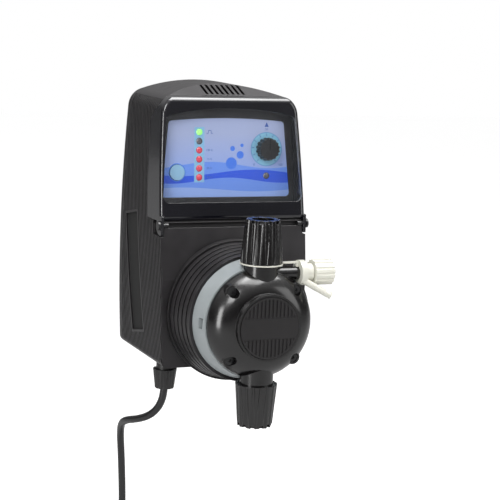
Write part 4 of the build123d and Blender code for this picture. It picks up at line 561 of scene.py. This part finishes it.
def number(text, size_mm, x_mm, z_mm):
    """Flat mesh of a plain number: its outline is filled by Blender, and its points come back as
    (across, up)."""
    curve = bpy.data.curves.new("number", "FONT")
    curve.body, curve.size, curve.align_x, curve.align_y = text, size_mm, "CENTER", "CENTER"
    holder = bpy.data.objects.new("number", curve)
    bpy.context.scene.collection.objects.link(holder)
    mesh = bpy.data.meshes.new_from_object(holder)
    points = np.empty(len(mesh.vertices) * 3)
    mesh.vertices.foreach_get("co", points)
    faces = [list(p.vertices) for p in mesh.polygons]
    bpy.data.objects.remove(holder)
    bpy.data.meshes.remove(mesh)
    return points.reshape(-1, 3)[:, :2] + (x_mm, z_mm), faces


mark_points, mark_faces = [], []


def put(points, faces):
    """Adds a flat shape to the marks, with its faces counted on from the points already there."""
    base = sum(len(p) for p in mark_points)
    mark_points.append(points)
    mark_faces.extend([[base + i for i in face] for face in faces])


for degrees_round in np.linspace(230, -50, 11):
    ray = np.array([cos(radians(degrees_round)), sin(radians(degrees_round))])
    put(stroke(knob_mm + ray * 10.6, knob_mm + ray * 12.6, 0.42), [[0, 1, 2, 3]])
for text, x_mm, z_mm in (("0", 23.4, -4.2), ("100", 46.2, -4.4), ("50", 34, 23.6)):
    put(*number(text, 2.6, x_mm, z_mm))
for text, lamp in (("100 %", 2), ("75 %", 3), ("50 %", 4), ("25 %", 5)):
    put(*number(text, 2.3, -14.6, lamps_mm[1] - lamp_pitch_mm * lamp))
pulse = [(-17.2, 20.2), (-15.6, 20.2), (-15.6, 22.6), (-13.2, 22.6), (-13.2, 20.2), (-11.6, 20.2)]
for first, second in zip(pulse, pulse[1:]):
    put(stroke(first, second, 0.4), [[0, 1, 2, 3]])
put(np.array([(32.2, 22.0), (35.8, 22.0), (34, 25.6)]) + (0, 3.6), [[0, 1, 2]])
marks_mesh = bpy.data.meshes.new("label_marks")
marks_mesh.from_pydata(on_panel(np.vstack(mark_points)).tolist(), [], mark_faces)
marks = bpy.data.objects.new("label_marks", marks_mesh)
bpy.context.scene.collection.objects.link(marks)
ink, tree, shader = new_material("screen_ink_blue", Roughness=0.4)
ink_noise = grain(tree, place(tree), 0.6, 2)
tree.links.new(blended(tree, ink_noise, "#2c4da6", "#3a62c4"), shader.inputs["Base Color"])
marks_mesh.materials.append(ink)
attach(marks, "pump")
print("marks", len(marks_mesh.polygons), "faces")

# %% [markdown]
# ## Dressing the nodes
# Each CAD node names its finish in the record. The meshes stay as they are and only their
# material slots are filled.

# %% Dress
slot_of = {entry["node"]: entry["material_slot"] for entry in frame["record"]["subparts"]}
for name, node in nodes.items():
    node.data.materials.clear()
    node.data.materials.append(finishes[slot_of[name]])
cord_tube.data.materials.append(finishes["cord_pvc"])
print("dressed", len(nodes), "nodes with", len(set(slot_of.values())), "finishes")

# %% [markdown]
# ## Floor, world and light
# The pump stands out against plain white. The floor is pale and far below; its colour and
# the world's carry the white, and the lamps stay soft: a large key at the upper left, a
# weaker fill at the right and a strip above. Two white cards only draw reflections, one
# above for the shine along the cover's arch and one at the left for the upright edges.
# More lamp would draw them too, but it would bleach the label.

# %% World
world = bpy.data.worlds.new("studio")
bpy.context.scene.world = world
world.use_nodes = True
tree = world.node_tree
tree.nodes.clear()
path = add(tree, "ShaderNodeLightPath")
seen = calc(tree, "MAXIMUM", path.outputs["Is Camera Ray"], path.outputs["Is Transmission Ray"])
sky_place = add(tree, "ShaderNodeTexCoord").outputs["Generated"]
direction = add(tree, "ShaderNodeSeparateXYZ", {"Vector": sky_place})
room = between(tree, direction.outputs["Z"], 0.14, 1.0, 0.15, 0.75)
shine = add(
    tree, "ShaderNodeMix", {0: path.outputs["Is Glossy Ray"], 2: 0.42, 3: room}, data_type="FLOAT",
).outputs[0]
strength = calc(tree, "MAXIMUM", seen, shine)
background = add(tree, "ShaderNodeBackground", {"Color": linear("#ffffff"), "Strength": strength})
add(tree, "ShaderNodeOutputWorld", {"Surface": background.outputs[0]})
print("world ready")

# %% Floor
floor_z = -0.45
floor_half = 6
corners = [(x * floor_half, y * floor_half, floor_z) for x, y in ((-1, -1), (1, -1), (1, 1), (-1, 1))]
floor_mesh = bpy.data.meshes.new("floor")
floor_mesh.from_pydata(corners, [], [(0, 1, 2, 3)])
floor = bpy.data.objects.new("floor", floor_mesh)
bpy.context.scene.collection.objects.link(floor)
floor_paint, tree, shader = new_material("floor_paint_white", Base_Color=linear("#e9e9e9"), Roughness=0.9)
path = add(tree, "ShaderNodeLightPath")
seen = calc(tree, "MAXIMUM", path.outputs["Is Camera Ray"], path.outputs["Is Transmission Ray"])
tree.links.new(calc(tree, "MULTIPLY", seen, 0.62), shader.inputs["Emission Strength"])
shader.inputs["Emission Color"].default_value = linear("#ffffff")
floor_mesh.materials.append(floor_paint)
floor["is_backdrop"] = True
print("floor at", floor_z)


# %% Lights
def area_light(name, place_at, target, width, height, power, only_shine=False):
    """A rectangular soft light that stands at place_at and faces target; one that is only_shine draws
    reflections and leaves the evenly lit tones alone, like a white card beside the object."""
    data = bpy.data.lights.new(name, "AREA")
    data.shape, data.size, data.size_y, data.energy = "RECTANGLE", width, height, power
    light = bpy.data.objects.new(name, data)
    light.location = place_at
    light.rotation_mode = "QUATERNION"
    light.rotation_quaternion = (Vector(target) - Vector(place_at)).to_track_quat("-Z", "Y")
    light.visible_diffuse = not only_shine
    bpy.context.scene.collection.objects.link(light)
    return light


middle = (0, -0.09, -0.03)
area_light("key", (-1.3, -1.5, 1.35), middle, 0.9, 0.9, 26)
area_light("fill", (1.6, -1.5, 0.5), middle, 0.9, 1.2, 9)
area_light("strip", (0.0, -0.25, 1.6), (0, -0.09, 0.05), 1.4, 0.5, 16)
area_light("card_above", (0.35, -0.4, 1.5), (0, -0.09, 0.05), 1.6, 1.3, 60, True)
area_light("card_left", (-1.7, -0.85, -0.1), middle, 0.5, 1.5, 26, True)
print("lights ready")

# %% [markdown]
# ## Size after dressing
# The box of the dressed pump is measured, and how far it grew past the box of the plain solids is
# printed.

# %% Finish
bpy.context.view_layer.update()
visual_low, visual_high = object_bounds()
grown = [b - a for a, b in zip((*cad_low, *cad_high), (*visual_low, *visual_high))]
print("grew by", [round(g * 1000, 2) for g in grown], "mm")
